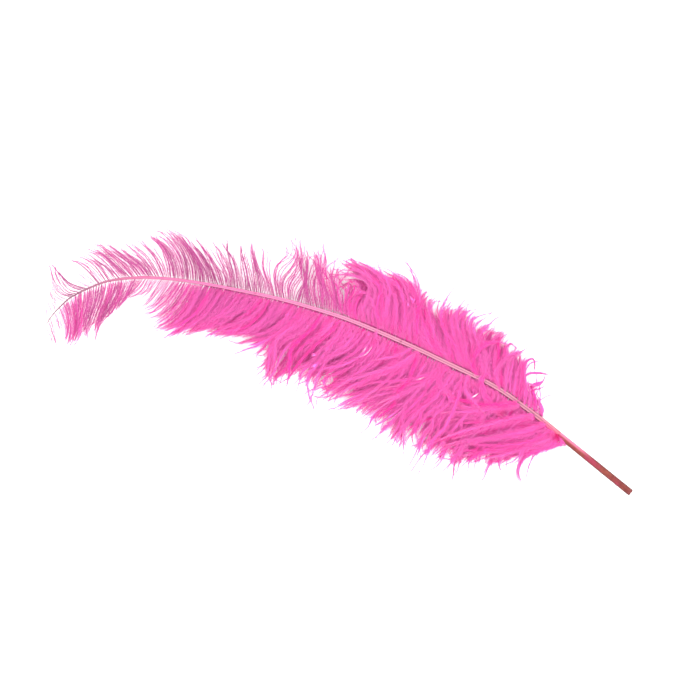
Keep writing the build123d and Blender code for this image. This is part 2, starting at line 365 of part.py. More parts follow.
for side, locks in (("outer", OUTER_LOCKS), ("inner", INNER_LOCKS)):
    for n, (first, second) in enumerate(locks, start=1):
        with BuildPart() as lock:
            for plane, width, thick in lock_sections(first, second):
                with BuildSketch(plane):
                    Rectangle(width, thick)
            loft(ruled=True)
        name = f"{side}_barb_lock_{n:02d}"
        lock.part.label = name
        export_step(lock.part, "parts/" + name + ".step")
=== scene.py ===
import bpy
import math
import numpy as np
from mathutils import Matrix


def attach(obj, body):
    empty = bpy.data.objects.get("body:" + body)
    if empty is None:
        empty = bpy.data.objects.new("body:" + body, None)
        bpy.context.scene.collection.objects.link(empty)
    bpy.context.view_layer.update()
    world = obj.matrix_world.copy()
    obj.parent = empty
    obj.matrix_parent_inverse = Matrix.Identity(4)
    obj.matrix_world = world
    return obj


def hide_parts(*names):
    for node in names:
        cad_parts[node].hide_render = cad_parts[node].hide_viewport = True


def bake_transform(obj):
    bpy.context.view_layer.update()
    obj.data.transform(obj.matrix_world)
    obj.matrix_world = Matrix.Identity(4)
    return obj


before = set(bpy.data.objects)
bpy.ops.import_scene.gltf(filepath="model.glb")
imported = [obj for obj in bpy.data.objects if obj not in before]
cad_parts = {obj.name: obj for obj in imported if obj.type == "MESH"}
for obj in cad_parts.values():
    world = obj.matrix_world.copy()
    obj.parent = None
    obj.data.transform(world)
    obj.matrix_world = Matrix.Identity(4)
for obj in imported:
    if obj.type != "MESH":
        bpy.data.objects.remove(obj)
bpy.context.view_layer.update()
MM = 0.001

# ---------------------------------------------------------------------------------------------
# The plume's own lines, in millimetres in the row frame.
# Shaft stations: x, y, z of the axis and the width, at the distances along it in SHAFT_RUN.
SHAFT_RUN = np.r_[0, 20, 40, np.linspace(62, 449.93, 44)]
SHAFT = [
    (-0.00, 0.00, 0.00, 4.70), (-15.54, 12.60, 0.00, 4.70), (-31.07, 25.19, 0.00, 4.65), (-48.16, 39.05, 0.00, 4.42),
    (-55.05, 44.87, 0.27, 4.28), (-62.00, 50.62, 0.80, 4.06), (-69.16, 56.11, 1.44, 3.84), (-76.44, 61.45, 2.23, 3.69),
    (-83.75, 66.74, 3.11, 3.64), (-91.30, 71.67, 4.10, 3.60), (-99.18, 76.05, 5.01, 3.57), (-107.27, 80.06, 5.84, 3.54),
    (-115.43, 83.90, 6.58, 3.52), (-123.59, 87.75, 7.10, 3.51), (-131.73, 91.64, 7.48, 3.49), (-139.87, 95.53, 7.80, 3.47),
    (-148.06, 99.32, 8.07, 3.44), (-156.30, 103.00, 8.31, 3.41), (-164.56, 106.63, 8.53, 3.36), (-172.85, 110.19, 8.74, 3.31),
    (-181.17, 113.66, 8.91, 3.25), (-189.56, 117.00, 9.06, 3.18), (-198.03, 120.09, 9.21, 3.12), (-206.62, 122.86, 9.40, 3.05),
    (-215.25, 125.47, 9.64, 2.98), (-223.91, 128.02, 9.98, 2.91), (-232.60, 130.42, 10.42, 2.85), (-241.35, 132.62, 10.95, 2.78),
    (-250.16, 134.60, 11.55, 2.71), (-258.99, 136.40, 12.23, 2.65), (-267.84, 138.16, 12.99, 2.58), (-276.69, 139.95, 13.96, 2.51),
    (-285.55, 141.60, 15.11, 2.45), (-294.45, 143.11, 16.39, 2.39), (-303.37, 144.50, 17.76, 2.34), (-312.32, 145.54, 19.32, 2.30),
    (-321.32, 146.25, 21.07, 2.25), (-330.34, 146.65, 22.98, 2.17), (-339.34, 146.29, 24.99, 2.07), (-348.33, 145.35, 27.09, 1.94),
    (-357.18, 143.65, 29.37, 1.78), (-365.63, 140.50, 31.78, 1.60), (-373.82, 136.73, 34.27, 1.35), (-381.63, 132.20, 36.81, 1.11),
    (-388.21, 126.03, 39.44, 0.93), (-394.06, 119.18, 42.18, 0.76), (-398.48, 111.32, 45.00, 0.50),
]

OUTER_GUIDES = [
    (83.0, [(-64.3, 52.5), (-63.6, 57.3), (-65.6, 62.0), (-66.3, 66.1)]),
    (86.3, [(-67.0, 54.3), (-66.3, 62.0), (-69.0, 68.8), (-67.0, 71.5), (-61.5, 74.3), (-58.8, 79.0), (-58.1, 82.4)]),
    (90.5, [(-70.4, 56.8), (-69.0, 67.5), (-71.7, 75.6), (-68.3, 79.0), (-61.5, 79.7), (-56.8, 81.7), (-52.0, 80.4)]),
    (95.6, [(-74.5, 60.0), (-73.1, 71.5), (-73.8, 81.1), (-71.7, 87.9), (-67.0, 90.6), (-64.9, 92.6)]),
    (100.9, [(-78.5, 63.4), (-76.5, 75.6), (-75.8, 85.8), (-75.8, 93.3), (-73.1, 97.4), (-69.0, 100.8)]),
    (105.8, [(-82.6, 66.1), (-81.3, 78.3), (-80.6, 88.5), (-80.6, 94.7), (-77.2, 97.4), (-73.1, 98.7)]),
    (110.8, [(-86.7, 69.0), (-86.0, 81.1), (-85.3, 91.9), (-86.0, 98.7), (-83.3, 102.1), (-78.5, 102.8)]),
    (115.5, [(-90.8, 71.3), (-91.5, 83.8), (-91.5, 94.7), (-92.1, 102.1), (-89.4, 106.9), (-85.3, 109.6), (-83.3, 114.4)]),
    (120.2, [(-94.9, 73.7), (-96.2, 86.5), (-96.9, 97.4), (-98.3, 104.9), (-94.9, 109.6), (-89.4, 112.3), (-84.0, 112.3)]),
    (124.9, [(-98.9, 75.9), (-100.3, 88.5), (-101.7, 99.4), (-103.7, 106.9), (-101.0, 111.7), (-96.2, 113.7), (-92.1, 115.7)]),
    (129.4, [(-103.0, 78.0), (-105.1, 90.6), (-107.1, 102.1), (-109.1, 111.0), (-107.1, 117.1), (-103.0, 121.2), (-100.3, 122.5)]),
    (134.0, [(-107.1, 80.0), (-109.1, 91.9), (-111.9, 104.2), (-114.6, 113.0), (-113.2, 119.8), (-107.1, 124.6), (-101.7, 128.7)]),
    (138.5, [(-111.2, 81.9), (-113.9, 94.0), (-116.6, 105.5), (-118.7, 114.4), (-117.3, 120.5), (-112.5, 124.6), (-109.1, 125.9)]),
    (143.0, [(-115.3, 83.8), (-118.0, 95.3), (-121.4, 106.9), (-124.1, 117.1), (-123.4, 123.2), (-119.3, 127.3), (-114.6, 129.3)]),
    (147.6, [(-119.3, 85.8), (-122.7, 97.4), (-126.1, 108.9), (-129.5, 119.1), (-129.5, 125.3), (-125.5, 130.0), (-118.7, 134.1)]),
    (152.1, [(-123.4, 87.7), (-127.5, 98.7), (-131.6, 111.0), (-135.0, 121.2), (-135.0, 127.3), (-131.6, 132.1), (-126.8, 134.8)]),
    (156.6, [(-127.5, 89.7), (-132.3, 100.8), (-137.0, 112.3), (-140.4, 121.9), (-141.1, 128.7), (-138.4, 132.7), (-132.9, 134.8)]),
    (161.1, [(-131.6, 91.6), (-137.0, 102.8), (-141.8, 113.7), (-144.5, 123.2), (-144.5, 130.7), (-141.1, 136.1), (-135.7, 137.5)]),
    (165.6, [(-135.7, 93.6), (-141.1, 105.5), (-145.2, 116.4), (-147.2, 125.9), (-146.5, 133.4), (-143.1, 138.2)]),
    (170.1, [(-139.7, 95.5), (-143.1, 108.3), (-145.9, 120.5), (-146.5, 131.4), (-148.6, 139.5), (-152.7, 145.7)]),
    (175.4, [(-144.5, 97.7), (-145.9, 111.0), (-147.2, 123.2), (-148.6, 133.4), (-152.7, 141.6), (-157.4, 146.3), (-160.1, 149.7)]),
    (180.6, [(-149.3, 99.9), (-148.6, 113.7), (-148.6, 127.3), (-152.0, 137.5), (-157.4, 144.3), (-163.5, 147.0), (-169.0, 148.4)]),
    (185.9, [(-154.0, 102.1), (-152.7, 116.4), (-152.7, 128.0), (-155.4, 138.2), (-161.5, 144.3), (-169.0, 147.0), (-175.8, 151.1)]),
    (191.0, [(-158.8, 104.2), (-156.7, 116.4), (-156.7, 129.3), (-160.1, 138.2), (-166.9, 145.0), (-175.1, 149.1), (-182.6, 153.1)]),
    (196.2, [(-163.5, 106.2), (-161.5, 119.1), (-161.5, 131.4), (-165.6, 140.2), (-173.7, 147.0), (-181.9, 151.8), (-189.4, 154.5)]),
    (201.4, [(-168.3, 108.3), (-166.9, 121.2), (-166.9, 132.7), (-170.3, 142.3), (-177.8, 149.1), (-186.7, 153.1), (-192.8, 154.5)]),
    (206.6, [(-173.1, 110.3), (-173.1, 123.2), (-172.4, 134.1), (-175.1, 143.6), (-181.9, 149.7), (-190.1, 153.8), (-197.5, 158.6)]),
    (211.8, [(-177.8, 112.3), (-179.2, 123.2), (-176.5, 132.7), (-177.1, 140.9), (-181.9, 147.7), (-188.7, 153.1), (-196.2, 157.9), (-201.6, 161.3), (-205.0, 164.7)]),
    (218.4, [(-183.9, 114.9), (-184.6, 123.2), (-181.9, 130.0), (-178.5, 135.5), (-178.5, 140.9), (-183.3, 145.7), (-190.1, 147.7), (-196.2, 146.3)]),
    (222.7, [(-188.0, 116.4), (-190.1, 123.2), (-188.0, 128.7), (-183.3, 134.1), (-180.5, 139.5), (-183.3, 142.9), (-189.4, 144.3), (-195.5, 142.3)]),
    (227.1, [(-192.1, 117.9), (-193.5, 127.3), (-192.1, 134.1), (-189.4, 139.5), (-190.1, 144.3), (-195.5, 146.3)]),
    (231.4, [(-196.2, 119.3), (-198.2, 130.0), (-199.6, 137.5), (-198.2, 142.3), (-194.1, 145.7)]),
    (235.0, [(-199.6, 120.5), (-200.9, 130.0), (-202.3, 138.2), (-204.3, 146.3), (-204.3, 153.8)]),
    (237.9, [(-202.3, 121.4), (-202.3, 131.4), (-204.3, 139.5), (-207.1, 145.0), (-209.8, 150.4)]),
    (241.5, [(-205.7, 122.5), (-205.7, 131.4), (-207.7, 139.5), (-210.5, 146.3), (-209.1, 153.1), (-207.7, 159.9), (-209.1, 166.7), (-209.8, 168.8)]),
    (245.0, [(-209.1, 123.6), (-209.1, 132.7), (-211.1, 141.6), (-213.2, 148.4), (-214.5, 155.2), (-213.2, 162.0)]),
    (249.3, [(-213.2, 124.9), (-214.5, 134.1), (-213.9, 142.3), (-211.8, 149.7), (-212.5, 157.2), (-214.5, 162.0)]),
    (252.9, [(-216.6, 125.9), (-218.6, 134.8), (-219.3, 141.6), (-216.6, 147.7), (-212.5, 153.1), (-209.8, 159.9), (-211.8, 163.3)]),
    (256.4, [(-220.0, 127.0), (-221.3, 136.8), (-223.4, 143.6), (-224.7, 150.4), (-224.1, 157.2)]),
    (260.6, [(-224.1, 128.1), (-222.7, 138.2), (-222.7, 145.7), (-220.7, 153.1), (-219.3, 160.6), (-220.0, 164.7)]),
    (264.2, [(-227.5, 129.0), (-225.4, 136.8), (-222.7, 143.6), (-222.0, 150.4), (-222.0, 158.6), (-221.3, 164.0), (-224.1, 168.1)]),
    (267.7, [(-230.9, 129.9), (-230.2, 136.8), (-226.8, 142.3), (-223.4, 147.7), (-224.7, 155.2), (-225.4, 164.0), (-226.8, 168.8)]),
    (271.2, [(-234.3, 130.8), (-234.9, 138.2), (-233.6, 144.3), (-228.8, 150.4), (-225.4, 156.5), (-225.4, 164.0), (-227.5, 170.1), (-228.1, 175.6), (-227.8, 179.0)]),
    (274.0, [(-237.0, 131.5), (-238.3, 138.2), (-237.0, 144.3), (-232.2, 150.4), (-228.1, 156.5), (-227.5, 163.3), (-229.5, 170.1), (-230.9, 175.6), (-230.2, 180.3)]),
    (276.8, [(-239.7, 132.2), (-241.1, 140.9), (-241.7, 147.7), (-239.7, 153.1), (-233.6, 157.9), (-229.5, 162.7), (-230.9, 169.5), (-233.6, 173.5)]),
    (278.9, [(-241.7, 132.7), (-243.1, 140.2), (-243.8, 148.4), (-241.7, 155.2), (-236.3, 158.6), (-232.2, 161.3), (-231.5, 166.7), (-234.3, 172.9), (-237.0, 178.3), (-238.3, 182.4)]),
    (281.0, [(-243.8, 133.2), (-245.8, 142.3), (-248.5, 149.7), (-249.2, 157.2), (-247.9, 165.4), (-247.2, 167.4)]),
    (283.1, [(-245.8, 133.7), (-247.9, 143.6), (-251.3, 151.8), (-251.9, 159.9), (-252.6, 165.4), (-255.3, 168.1), (-258.7, 170.8)]),
    (285.9, [(-248.5, 134.2), (-250.6, 143.6), (-254.7, 153.1), (-256.7, 162.0), (-258.1, 168.8)]),
    (288.6, [(-251.3, 134.8), (-253.3, 145.0), (-256.0, 153.1), (-258.1, 162.0), (-258.7, 170.1), (-259.4, 175.6)]),
    (292.8, [(-255.3, 135.6), (-256.7, 146.3), (-258.1, 155.2), (-259.4, 164.0), (-260.1, 172.2), (-261.5, 175.6)]),
    (296.3, [(-258.7, 136.3), (-261.5, 146.3), (-264.2, 155.9), (-265.5, 162.7)]),
    (299.1, [(-261.5, 136.8), (-262.1, 146.3), (-264.2, 157.2), (-266.2, 165.4), (-267.6, 172.2), (-267.6, 175.6)]),
    (301.8, [(-264.2, 137.4), (-265.5, 145.0), (-266.2, 153.1), (-266.9, 157.2)]),
    (305.3, [(-267.6, 138.0), (-269.6, 151.8), (-273.7, 161.3), (-279.1, 166.7), (-281.2, 172.2), (-280.8, 179.0)]),
    (307.4, [(-269.6, 138.4), (-271.0, 148.4), (-273.7, 157.2), (-275.7, 165.4), (-275.7, 172.2), (-278.5, 175.6), (-282.5, 176.9)]),
    (309.5, [(-271.7, 138.9), (-272.3, 150.4), (-275.1, 159.9), (-279.1, 166.1), (-285.3, 169.5)]),
    (312.2, [(-274.4, 139.4), (-275.7, 148.4), (-280.5, 157.2), (-284.6, 166.1), (-288.7, 172.2)]),
    (315.7, [(-277.8, 140.1), (-280.5, 149.1), (-285.3, 157.2), (-290.0, 164.0), (-293.4, 170.1), (-294.1, 173.5)]),
    (319.2, [(-281.2, 140.8), (-284.6, 150.4), (-288.7, 158.6), (-292.7, 165.4), (-297.5, 170.1), (-301.6, 174.2)]),
    (323.3, [(-285.3, 141.6), (-287.3, 150.4), (-291.4, 158.6), (-296.1, 165.4), (-300.2, 172.2), (-302.9, 176.3)]),
    (327.5, [(-289.3, 142.3), (-290.7, 150.4), (-295.5, 158.6), (-301.6, 166.7), (-305.7, 172.2), (-308.4, 176.9)]),
    (331.6, [(-293.4, 142.9), (-294.8, 151.8), (-298.9, 161.3), (-304.3, 169.5), (-309.7, 175.6), (-314.5, 178.3)]),
    (335.7, [(-297.5, 143.5), (-298.2, 153.1), (-301.6, 161.3), (-307.0, 170.1), (-313.8, 176.9), (-319.3, 179.7)]),
    (339.9, [(-301.6, 144.2), (-302.9, 153.1), (-305.7, 161.3), (-311.1, 169.5), (-317.9, 176.9), (-324.0, 180.3)]),
    (344.0, [(-305.7, 144.8), (-307.0, 153.1), (-309.7, 161.3), (-315.2, 169.5), (-320.6, 174.9), (-325.4, 180.3)]),
    (348.1, [(-309.7, 145.2), (-311.1, 153.8), (-315.2, 162.7), (-322.0, 170.8), (-328.1, 174.9)]),
    (351.5, [(-313.1, 145.5), (-314.5, 155.2), (-319.3, 165.4), (-326.1, 172.2), (-332.2, 176.9)]),
    (354.9, [(-316.5, 145.8), (-318.6, 153.1), (-322.7, 161.3), (-328.8, 169.5), (-334.2, 176.3), (-339.7, 179.0)]),
    (357.6, [(-319.3, 146.1), (-322.7, 155.2), (-327.4, 162.7), (-334.2, 168.8), (-343.1, 174.2)]),
    (360.4, [(-322.0, 146.2), (-326.1, 153.1), (-332.2, 160.6), (-339.7, 165.4), (-346.5, 170.1)]),
    (363.1, [(-324.7, 146.3), (-329.5, 153.1), (-337.6, 158.6), (-344.4, 162.7), (-349.9, 168.1)]),
    (367.2, [(-328.8, 146.5), (-334.2, 153.1), (-342.4, 158.6), (-349.2, 164.0), (-357.3, 170.1)]),
    (371.3, [(-332.9, 146.5), (-338.3, 153.1), (-347.8, 159.9), (-354.6, 165.4), (-362.8, 170.8)]),
    (375.4, [(-336.9, 146.3), (-342.4, 153.1), (-350.5, 159.9), (-357.3, 165.4), (-362.1, 168.1)]),
    (379.4, [(-341.0, 146.1), (-346.5, 151.8), (-354.6, 159.9), (-361.4, 166.1), (-366.2, 170.8), (-371.6, 174.2)]),
    (383.5, [(-345.1, 145.7), (-351.9, 154.5), (-358.7, 161.3), (-365.5, 164.0), (-372.3, 166.1)]),
    (387.6, [(-349.2, 145.3), (-354.6, 151.8), (-362.8, 158.6), (-368.2, 162.7), (-372.3, 164.0)]),
    (391.8, [(-353.3, 144.6), (-358.7, 151.8), (-365.5, 157.2), (-372.3, 160.6), (-375.0, 161.3)]),
    (396.0, [(-357.3, 143.6), (-363.5, 151.8), (-369.6, 156.5), (-375.0, 159.3), (-379.1, 160.6)]),
    (400.3, [(-361.4, 142.3), (-368.2, 150.4), (-373.0, 154.5), (-379.1, 157.9), (-385.9, 158.9), (-392.0, 158.2)]),
    (403.3, [(-364.1, 140.9), (-369.6, 144.3), (-375.0, 147.7), (-377.7, 148.4)]),
    (407.6, [(-368.2, 139.5), (-375.0, 142.3), (-380.5, 145.0), (-385.2, 147.7)]),
    (409.1, [(-369.6, 138.9), (-377.1, 140.9), (-383.2, 144.3), (-388.6, 150.4), (-392.7, 155.9), (-394.4, 160.6)]),
    (416.7, [(-376.4, 135.5), (-381.8, 136.8), (-387.3, 142.3), (-391.3, 149.7), (-393.4, 155.9)]),
    (420.6, [(-379.8, 133.4), (-385.9, 135.1), (-390.7, 140.2), (-393.4, 148.4), (-394.7, 157.2), (-395.4, 162.0)]),
    (426.5, [(-384.5, 130.0), (-390.7, 134.1), (-394.1, 139.5), (-395.4, 143.6)]),
    (430.3, [(-387.3, 127.3), (-392.0, 132.7), (-394.7, 138.2)]),
    (436.6, [(-391.3, 122.5), (-394.1, 128.0), (-395.4, 132.1)]),
    (441.9, [(-394.7, 118.5), (-396.1, 123.2), (-397.5, 127.3)]),
    (447.9, [(-397.5, 113.0), (-399.5, 116.4), (-402.2, 119.8), (-404.9, 121.9)]),
]

INNER_GUIDES = [
    (60.0, [(-46.6, 37.9), (-46.6, 34.1), (-45.2, 31.4)]),
    (62.7, [(-48.6, 39.6), (-48.6, 36.2), (-50.7, 32.1), (-56.1, 30.1)]),
    (67.1, [(-52.0, 42.4), (-52.7, 38.2), (-55.4, 33.5), (-60.2, 30.1), (-66.3, 28.0)]),
    (72.6, [(-56.1, 46.1), (-57.5, 40.3), (-60.2, 34.8), (-64.3, 30.1), (-69.0, 26.7), (-75.8, 23.9)]),
    (77.8, [(-60.2, 49.3), (-62.2, 43.0), (-65.6, 36.2), (-69.7, 30.7), (-74.5, 25.3), (-77.2, 18.5), (-76.5, 11.7), (-72.4, 4.9)]),
    (83.7, [(-64.9, 52.8), (-67.0, 45.7), (-71.1, 38.2), (-75.8, 31.4), (-80.6, 25.3), (-86.0, 21.2)]),
    (89.6, [(-69.7, 56.3), (-72.4, 48.4), (-76.5, 40.3), (-81.9, 32.8), (-87.4, 26.0), (-92.8, 20.5)]),
    (95.6, [(-74.5, 60.0), (-77.2, 51.1), (-81.9, 42.3), (-87.4, 34.8), (-92.8, 28.0), (-96.9, 22.6), (-97.6, 18.5)]),
    (101.6, [(-79.2, 63.6), (-81.9, 54.5), (-87.4, 44.3), (-93.5, 36.2), (-98.9, 29.4), (-101.7, 22.6), (-98.9, 15.8), (-100.3, 9.7), (-104.4, 2.2)]),
    (107.5, [(-84.0, 67.0), (-87.4, 57.3), (-92.8, 47.1), (-99.6, 38.2), (-106.4, 30.7), (-111.2, 24.6), (-111.9, 18.5)]),
    (113.1, [(-88.7, 70.0), (-92.1, 60.0), (-98.3, 49.1), (-105.1, 40.3), (-112.5, 32.1), (-118.7, 25.3), (-120.0, 17.8), (-120.7, 9.0)]),
    (118.6, [(-93.5, 72.9), (-97.6, 62.7), (-103.7, 51.8), (-111.2, 42.3), (-118.7, 33.5), (-124.8, 26.0), (-130.2, 19.9), (-139.7, 15.1)]),
    (124.1, [(-98.3, 75.5), (-102.3, 65.4), (-109.1, 54.5), (-116.6, 45.0), (-124.1, 35.5), (-130.2, 28.0), (-138.4, 22.6), (-145.9, 19.9)]),
    (129.4, [(-103.0, 78.0), (-107.8, 67.5), (-114.6, 56.6), (-122.1, 47.1), (-128.9, 38.2), (-134.3, 30.1), (-137.0, 25.3)]),
    (134.7, [(-107.8, 80.2), (-112.5, 70.2), (-119.3, 59.3), (-126.8, 49.8), (-133.6, 40.9), (-141.1, 33.5), (-146.5, 26.7)]),
    (140.0, [(-112.5, 82.6), (-117.3, 72.2), (-124.1, 61.3), (-132.3, 52.5), (-139.1, 44.3), (-143.8, 36.2), (-145.9, 27.3), (-149.3, 17.8), (-152.7, 9.0)]),
    (145.3, [(-117.3, 84.8), (-122.1, 74.3), (-129.5, 63.4), (-138.4, 54.5), (-145.9, 47.1), (-150.6, 38.9), (-151.3, 29.4), (-154.7, 23.3)]),
    (150.6, [(-122.1, 87.2), (-126.8, 77.0), (-134.3, 66.1), (-143.1, 57.3), (-151.3, 49.8), (-156.7, 42.3), (-158.8, 35.5), (-162.9, 31.4)]),
    (155.8, [(-126.8, 89.4), (-131.6, 79.7), (-139.1, 68.8), (-148.6, 60.7), (-156.7, 53.2), (-161.5, 45.0), (-165.6, 39.6), (-171.7, 35.5), (-179.9, 32.8)]),
    (161.1, [(-131.6, 91.6), (-136.3, 82.4), (-144.5, 71.5), (-154.0, 62.7), (-163.5, 55.9), (-172.4, 51.1), (-179.2, 47.7), (-183.9, 46.4)]),
    (166.4, [(-136.3, 93.9), (-141.1, 84.5), (-149.3, 73.6), (-159.5, 65.4), (-169.7, 58.6), (-177.1, 52.5), (-178.5, 45.0), (-181.2, 40.3), (-183.9, 36.2)]),
    (171.6, [(-141.1, 96.1), (-145.9, 86.5), (-154.0, 76.3), (-164.2, 68.1), (-174.4, 62.0), (-184.6, 56.6), (-190.1, 51.1), (-194.8, 47.7)]),
    (176.8, [(-145.9, 98.3), (-150.6, 89.2), (-158.8, 79.7), (-168.3, 72.2), (-179.2, 65.4), (-188.0, 60.7), (-193.5, 55.9), (-199.6, 51.8)]),
    (182.1, [(-150.6, 100.4), (-155.4, 91.3), (-163.5, 81.7), (-173.7, 74.3), (-183.9, 68.8), (-194.1, 64.1), (-202.3, 60.7), (-209.8, 58.6)]),
    (187.3, [(-155.4, 102.6), (-160.1, 93.3), (-168.3, 84.5), (-178.5, 77.0), (-188.7, 71.5), (-196.2, 66.1), (-199.6, 61.3), (-202.3, 58.6)]),
    (192.5, [(-160.1, 104.7), (-164.9, 96.0), (-172.4, 87.9), (-182.6, 81.1), (-192.8, 75.6), (-201.6, 70.9), (-207.7, 66.8), (-211.1, 63.4)]),
    (197.7, [(-164.9, 106.8), (-169.7, 98.1), (-177.1, 89.9), (-187.3, 83.1), (-197.5, 77.7), (-205.7, 73.6), (-211.8, 71.5)]),
    (202.9, [(-169.7, 108.8), (-174.4, 100.1), (-181.2, 92.6), (-191.4, 86.5), (-201.6, 81.7), (-210.5, 77.0), (-217.3, 71.5)]),
    (208.0, [(-174.4, 110.8), (-179.2, 102.1), (-186.0, 95.3), (-195.5, 89.9), (-205.0, 85.8), (-213.2, 80.4), (-218.6, 72.9)]),
    (213.2, [(-179.2, 112.8), (-184.6, 104.2), (-191.4, 97.4), (-200.9, 92.6), (-210.5, 87.9), (-217.9, 81.7), (-222.0, 74.3)]),
    (218.3, [(-183.9, 114.8), (-190.1, 106.2), (-197.5, 99.4), (-206.4, 94.0), (-215.9, 89.2), (-222.7, 83.1), (-227.5, 77.0), (-232.9, 72.9), (-239.0, 70.9)]),
    (223.5, [(-188.7, 116.7), (-195.5, 107.6), (-203.0, 100.8), (-211.1, 94.7), (-220.0, 89.2), (-227.5, 83.8), (-232.9, 78.3), (-234.9, 74.3)]),
    (228.6, [(-193.5, 118.5), (-200.9, 108.9), (-209.1, 102.1), (-216.6, 95.3), (-223.4, 89.9), (-230.2, 85.1), (-237.0, 80.4)]),
    (233.6, [(-198.2, 120.2), (-206.4, 110.3), (-214.5, 103.5), (-222.0, 97.4), (-227.5, 91.3), (-232.9, 85.8), (-239.0, 80.4)]),
    (238.6, [(-203.0, 121.7), (-210.5, 111.7), (-219.3, 105.5), (-226.8, 99.4), (-232.2, 93.3), (-237.0, 86.5), (-241.7, 79.7)]),
    (243.6, [(-207.7, 123.2), (-215.9, 113.0), (-224.7, 107.6), (-232.2, 102.1), (-237.0, 96.0), (-240.4, 88.5), (-243.8, 81.7), (-247.2, 77.7)]),
    (248.6, [(-212.5, 124.6), (-220.7, 115.1), (-228.8, 109.6), (-236.3, 105.5), (-241.1, 98.7), (-243.8, 90.6), (-245.8, 82.4), (-248.5, 76.3)]),
    (253.5, [(-217.3, 125.9), (-225.4, 116.4), (-233.6, 111.0), (-240.4, 106.9), (-243.8, 99.4), (-245.8, 90.6), (-247.9, 82.4), (-250.6, 74.9)]),
    (257.8, [(-221.3, 127.3), (-228.1, 118.5), (-235.6, 112.3), (-241.7, 108.3), (-244.5, 102.8), (-246.5, 96.0), (-253.3, 90.6)]),
    (262.0, [(-225.4, 128.5), (-232.2, 119.1), (-239.7, 112.3), (-247.2, 107.6), (-255.3, 103.5), (-264.2, 102.1), (-271.7, 99.4)]),
    (266.3, [(-229.5, 129.5), (-237.0, 119.8), (-245.8, 113.7), (-254.0, 111.0), (-262.1, 109.6)]),
    (271.9, [(-234.9, 131.0), (-242.4, 121.2), (-251.3, 114.4), (-260.8, 110.3), (-270.3, 108.9)]),
    (277.5, [(-240.4, 132.4), (-247.2, 122.5), (-256.0, 115.1), (-266.2, 111.0), (-278.5, 108.3)]),
    (283.1, [(-245.8, 133.6), (-252.6, 123.9), (-261.5, 116.4), (-272.3, 111.7), (-283.9, 109.6)]),
    (288.6, [(-251.3, 134.8), (-258.1, 125.3), (-267.6, 117.8), (-278.5, 112.3), (-293.4, 106.2)]),
    (294.2, [(-256.7, 135.9), (-264.2, 126.6), (-273.7, 119.1), (-283.9, 113.7), (-294.8, 110.3)]),
    (299.8, [(-262.1, 137.0), (-269.6, 127.3), (-278.5, 119.8), (-288.7, 114.4), (-300.2, 109.6)]),
    (305.3, [(-267.6, 138.0), (-275.7, 127.3), (-284.6, 119.1), (-294.8, 113.7), (-306.3, 108.3)]),
    (310.9, [(-273.0, 139.1), (-281.2, 128.0), (-289.3, 119.8), (-298.9, 114.4), (-308.4, 110.3)]),
    (316.4, [(-278.5, 140.2), (-285.9, 128.7), (-294.1, 119.8), (-304.3, 113.0), (-316.5, 106.9)]),
    (321.2, [(-283.2, 141.1), (-290.0, 130.0), (-298.2, 120.5), (-308.4, 113.0), (-321.3, 105.5)]),
    (326.1, [(-288.0, 141.8), (-294.8, 130.0), (-302.3, 121.2), (-312.5, 114.4), (-327.4, 109.6)]),
    (330.2, [(-292.1, 142.5), (-298.2, 131.4), (-305.0, 122.5), (-313.8, 115.7), (-323.3, 111.7)]),
    (334.3, [(-296.1, 143.2), (-301.6, 132.7), (-308.4, 123.9), (-316.5, 117.8), (-326.1, 113.7)]),
    (338.5, [(-300.2, 143.8), (-305.7, 134.1), (-312.5, 125.3), (-319.9, 119.1), (-327.4, 114.4)]),
    (342.6, [(-304.3, 144.4), (-310.4, 134.8), (-316.5, 127.3), (-323.3, 121.9), (-332.2, 120.5)]),
    (346.7, [(-308.4, 145.0), (-314.5, 135.5), (-320.6, 129.3), (-327.4, 123.2), (-334.2, 121.9)]),
    (350.8, [(-312.5, 145.3), (-318.6, 136.1), (-324.0, 130.0), (-329.5, 126.6)]),
    (355.6, [(-317.2, 145.7), (-322.7, 137.5), (-327.4, 131.4), (-330.8, 128.0), (-333.5, 126.6)]),
    (360.3, [(-322.0, 145.9), (-326.7, 139.5), (-330.1, 135.5), (-333.5, 132.7)]),
    (364.4, [(-326.1, 146.0), (-329.5, 139.5), (-333.5, 136.1), (-339.0, 134.8), (-343.1, 133.4)]),
    (370.6, [(-332.2, 146.3), (-336.3, 140.2), (-341.0, 136.1), (-345.1, 132.1), (-348.5, 128.0)]),
    (374.0, [(-335.6, 146.3), (-339.7, 139.5), (-344.4, 133.4), (-349.2, 127.3), (-352.6, 121.2)]),
    (377.4, [(-339.0, 146.2), (-342.4, 138.2), (-346.5, 131.4), (-351.2, 123.9), (-353.3, 119.1)]),
    (380.8, [(-342.4, 145.9), (-345.8, 137.5), (-349.2, 130.0), (-353.3, 123.2), (-356.0, 118.5)]),
    (384.9, [(-346.5, 145.5), (-349.2, 136.1), (-353.3, 128.0), (-358.0, 120.5), (-362.1, 113.7)]),
    (389.0, [(-350.5, 145.0), (-352.6, 136.1), (-356.7, 126.6), (-360.7, 116.4), (-362.8, 104.2)]),
    (393.2, [(-354.6, 144.3), (-356.7, 134.1), (-360.7, 124.6), (-364.1, 114.4), (-366.9, 103.5)]),
    (397.4, [(-358.7, 143.2), (-360.7, 132.7), (-364.1, 123.2), (-367.5, 113.0), (-370.9, 103.5)]),
    (401.7, [(-362.8, 141.7), (-364.1, 131.4), (-366.9, 121.9), (-369.6, 112.3), (-375.0, 102.8)]),
    (405.4, [(-366.2, 140.2), (-366.9, 131.4), (-369.6, 121.2), (-373.7, 110.3), (-377.7, 100.1)]),
    (409.1, [(-369.6, 138.7), (-370.3, 129.3), (-373.0, 119.1), (-375.7, 109.6), (-379.1, 100.1)]),
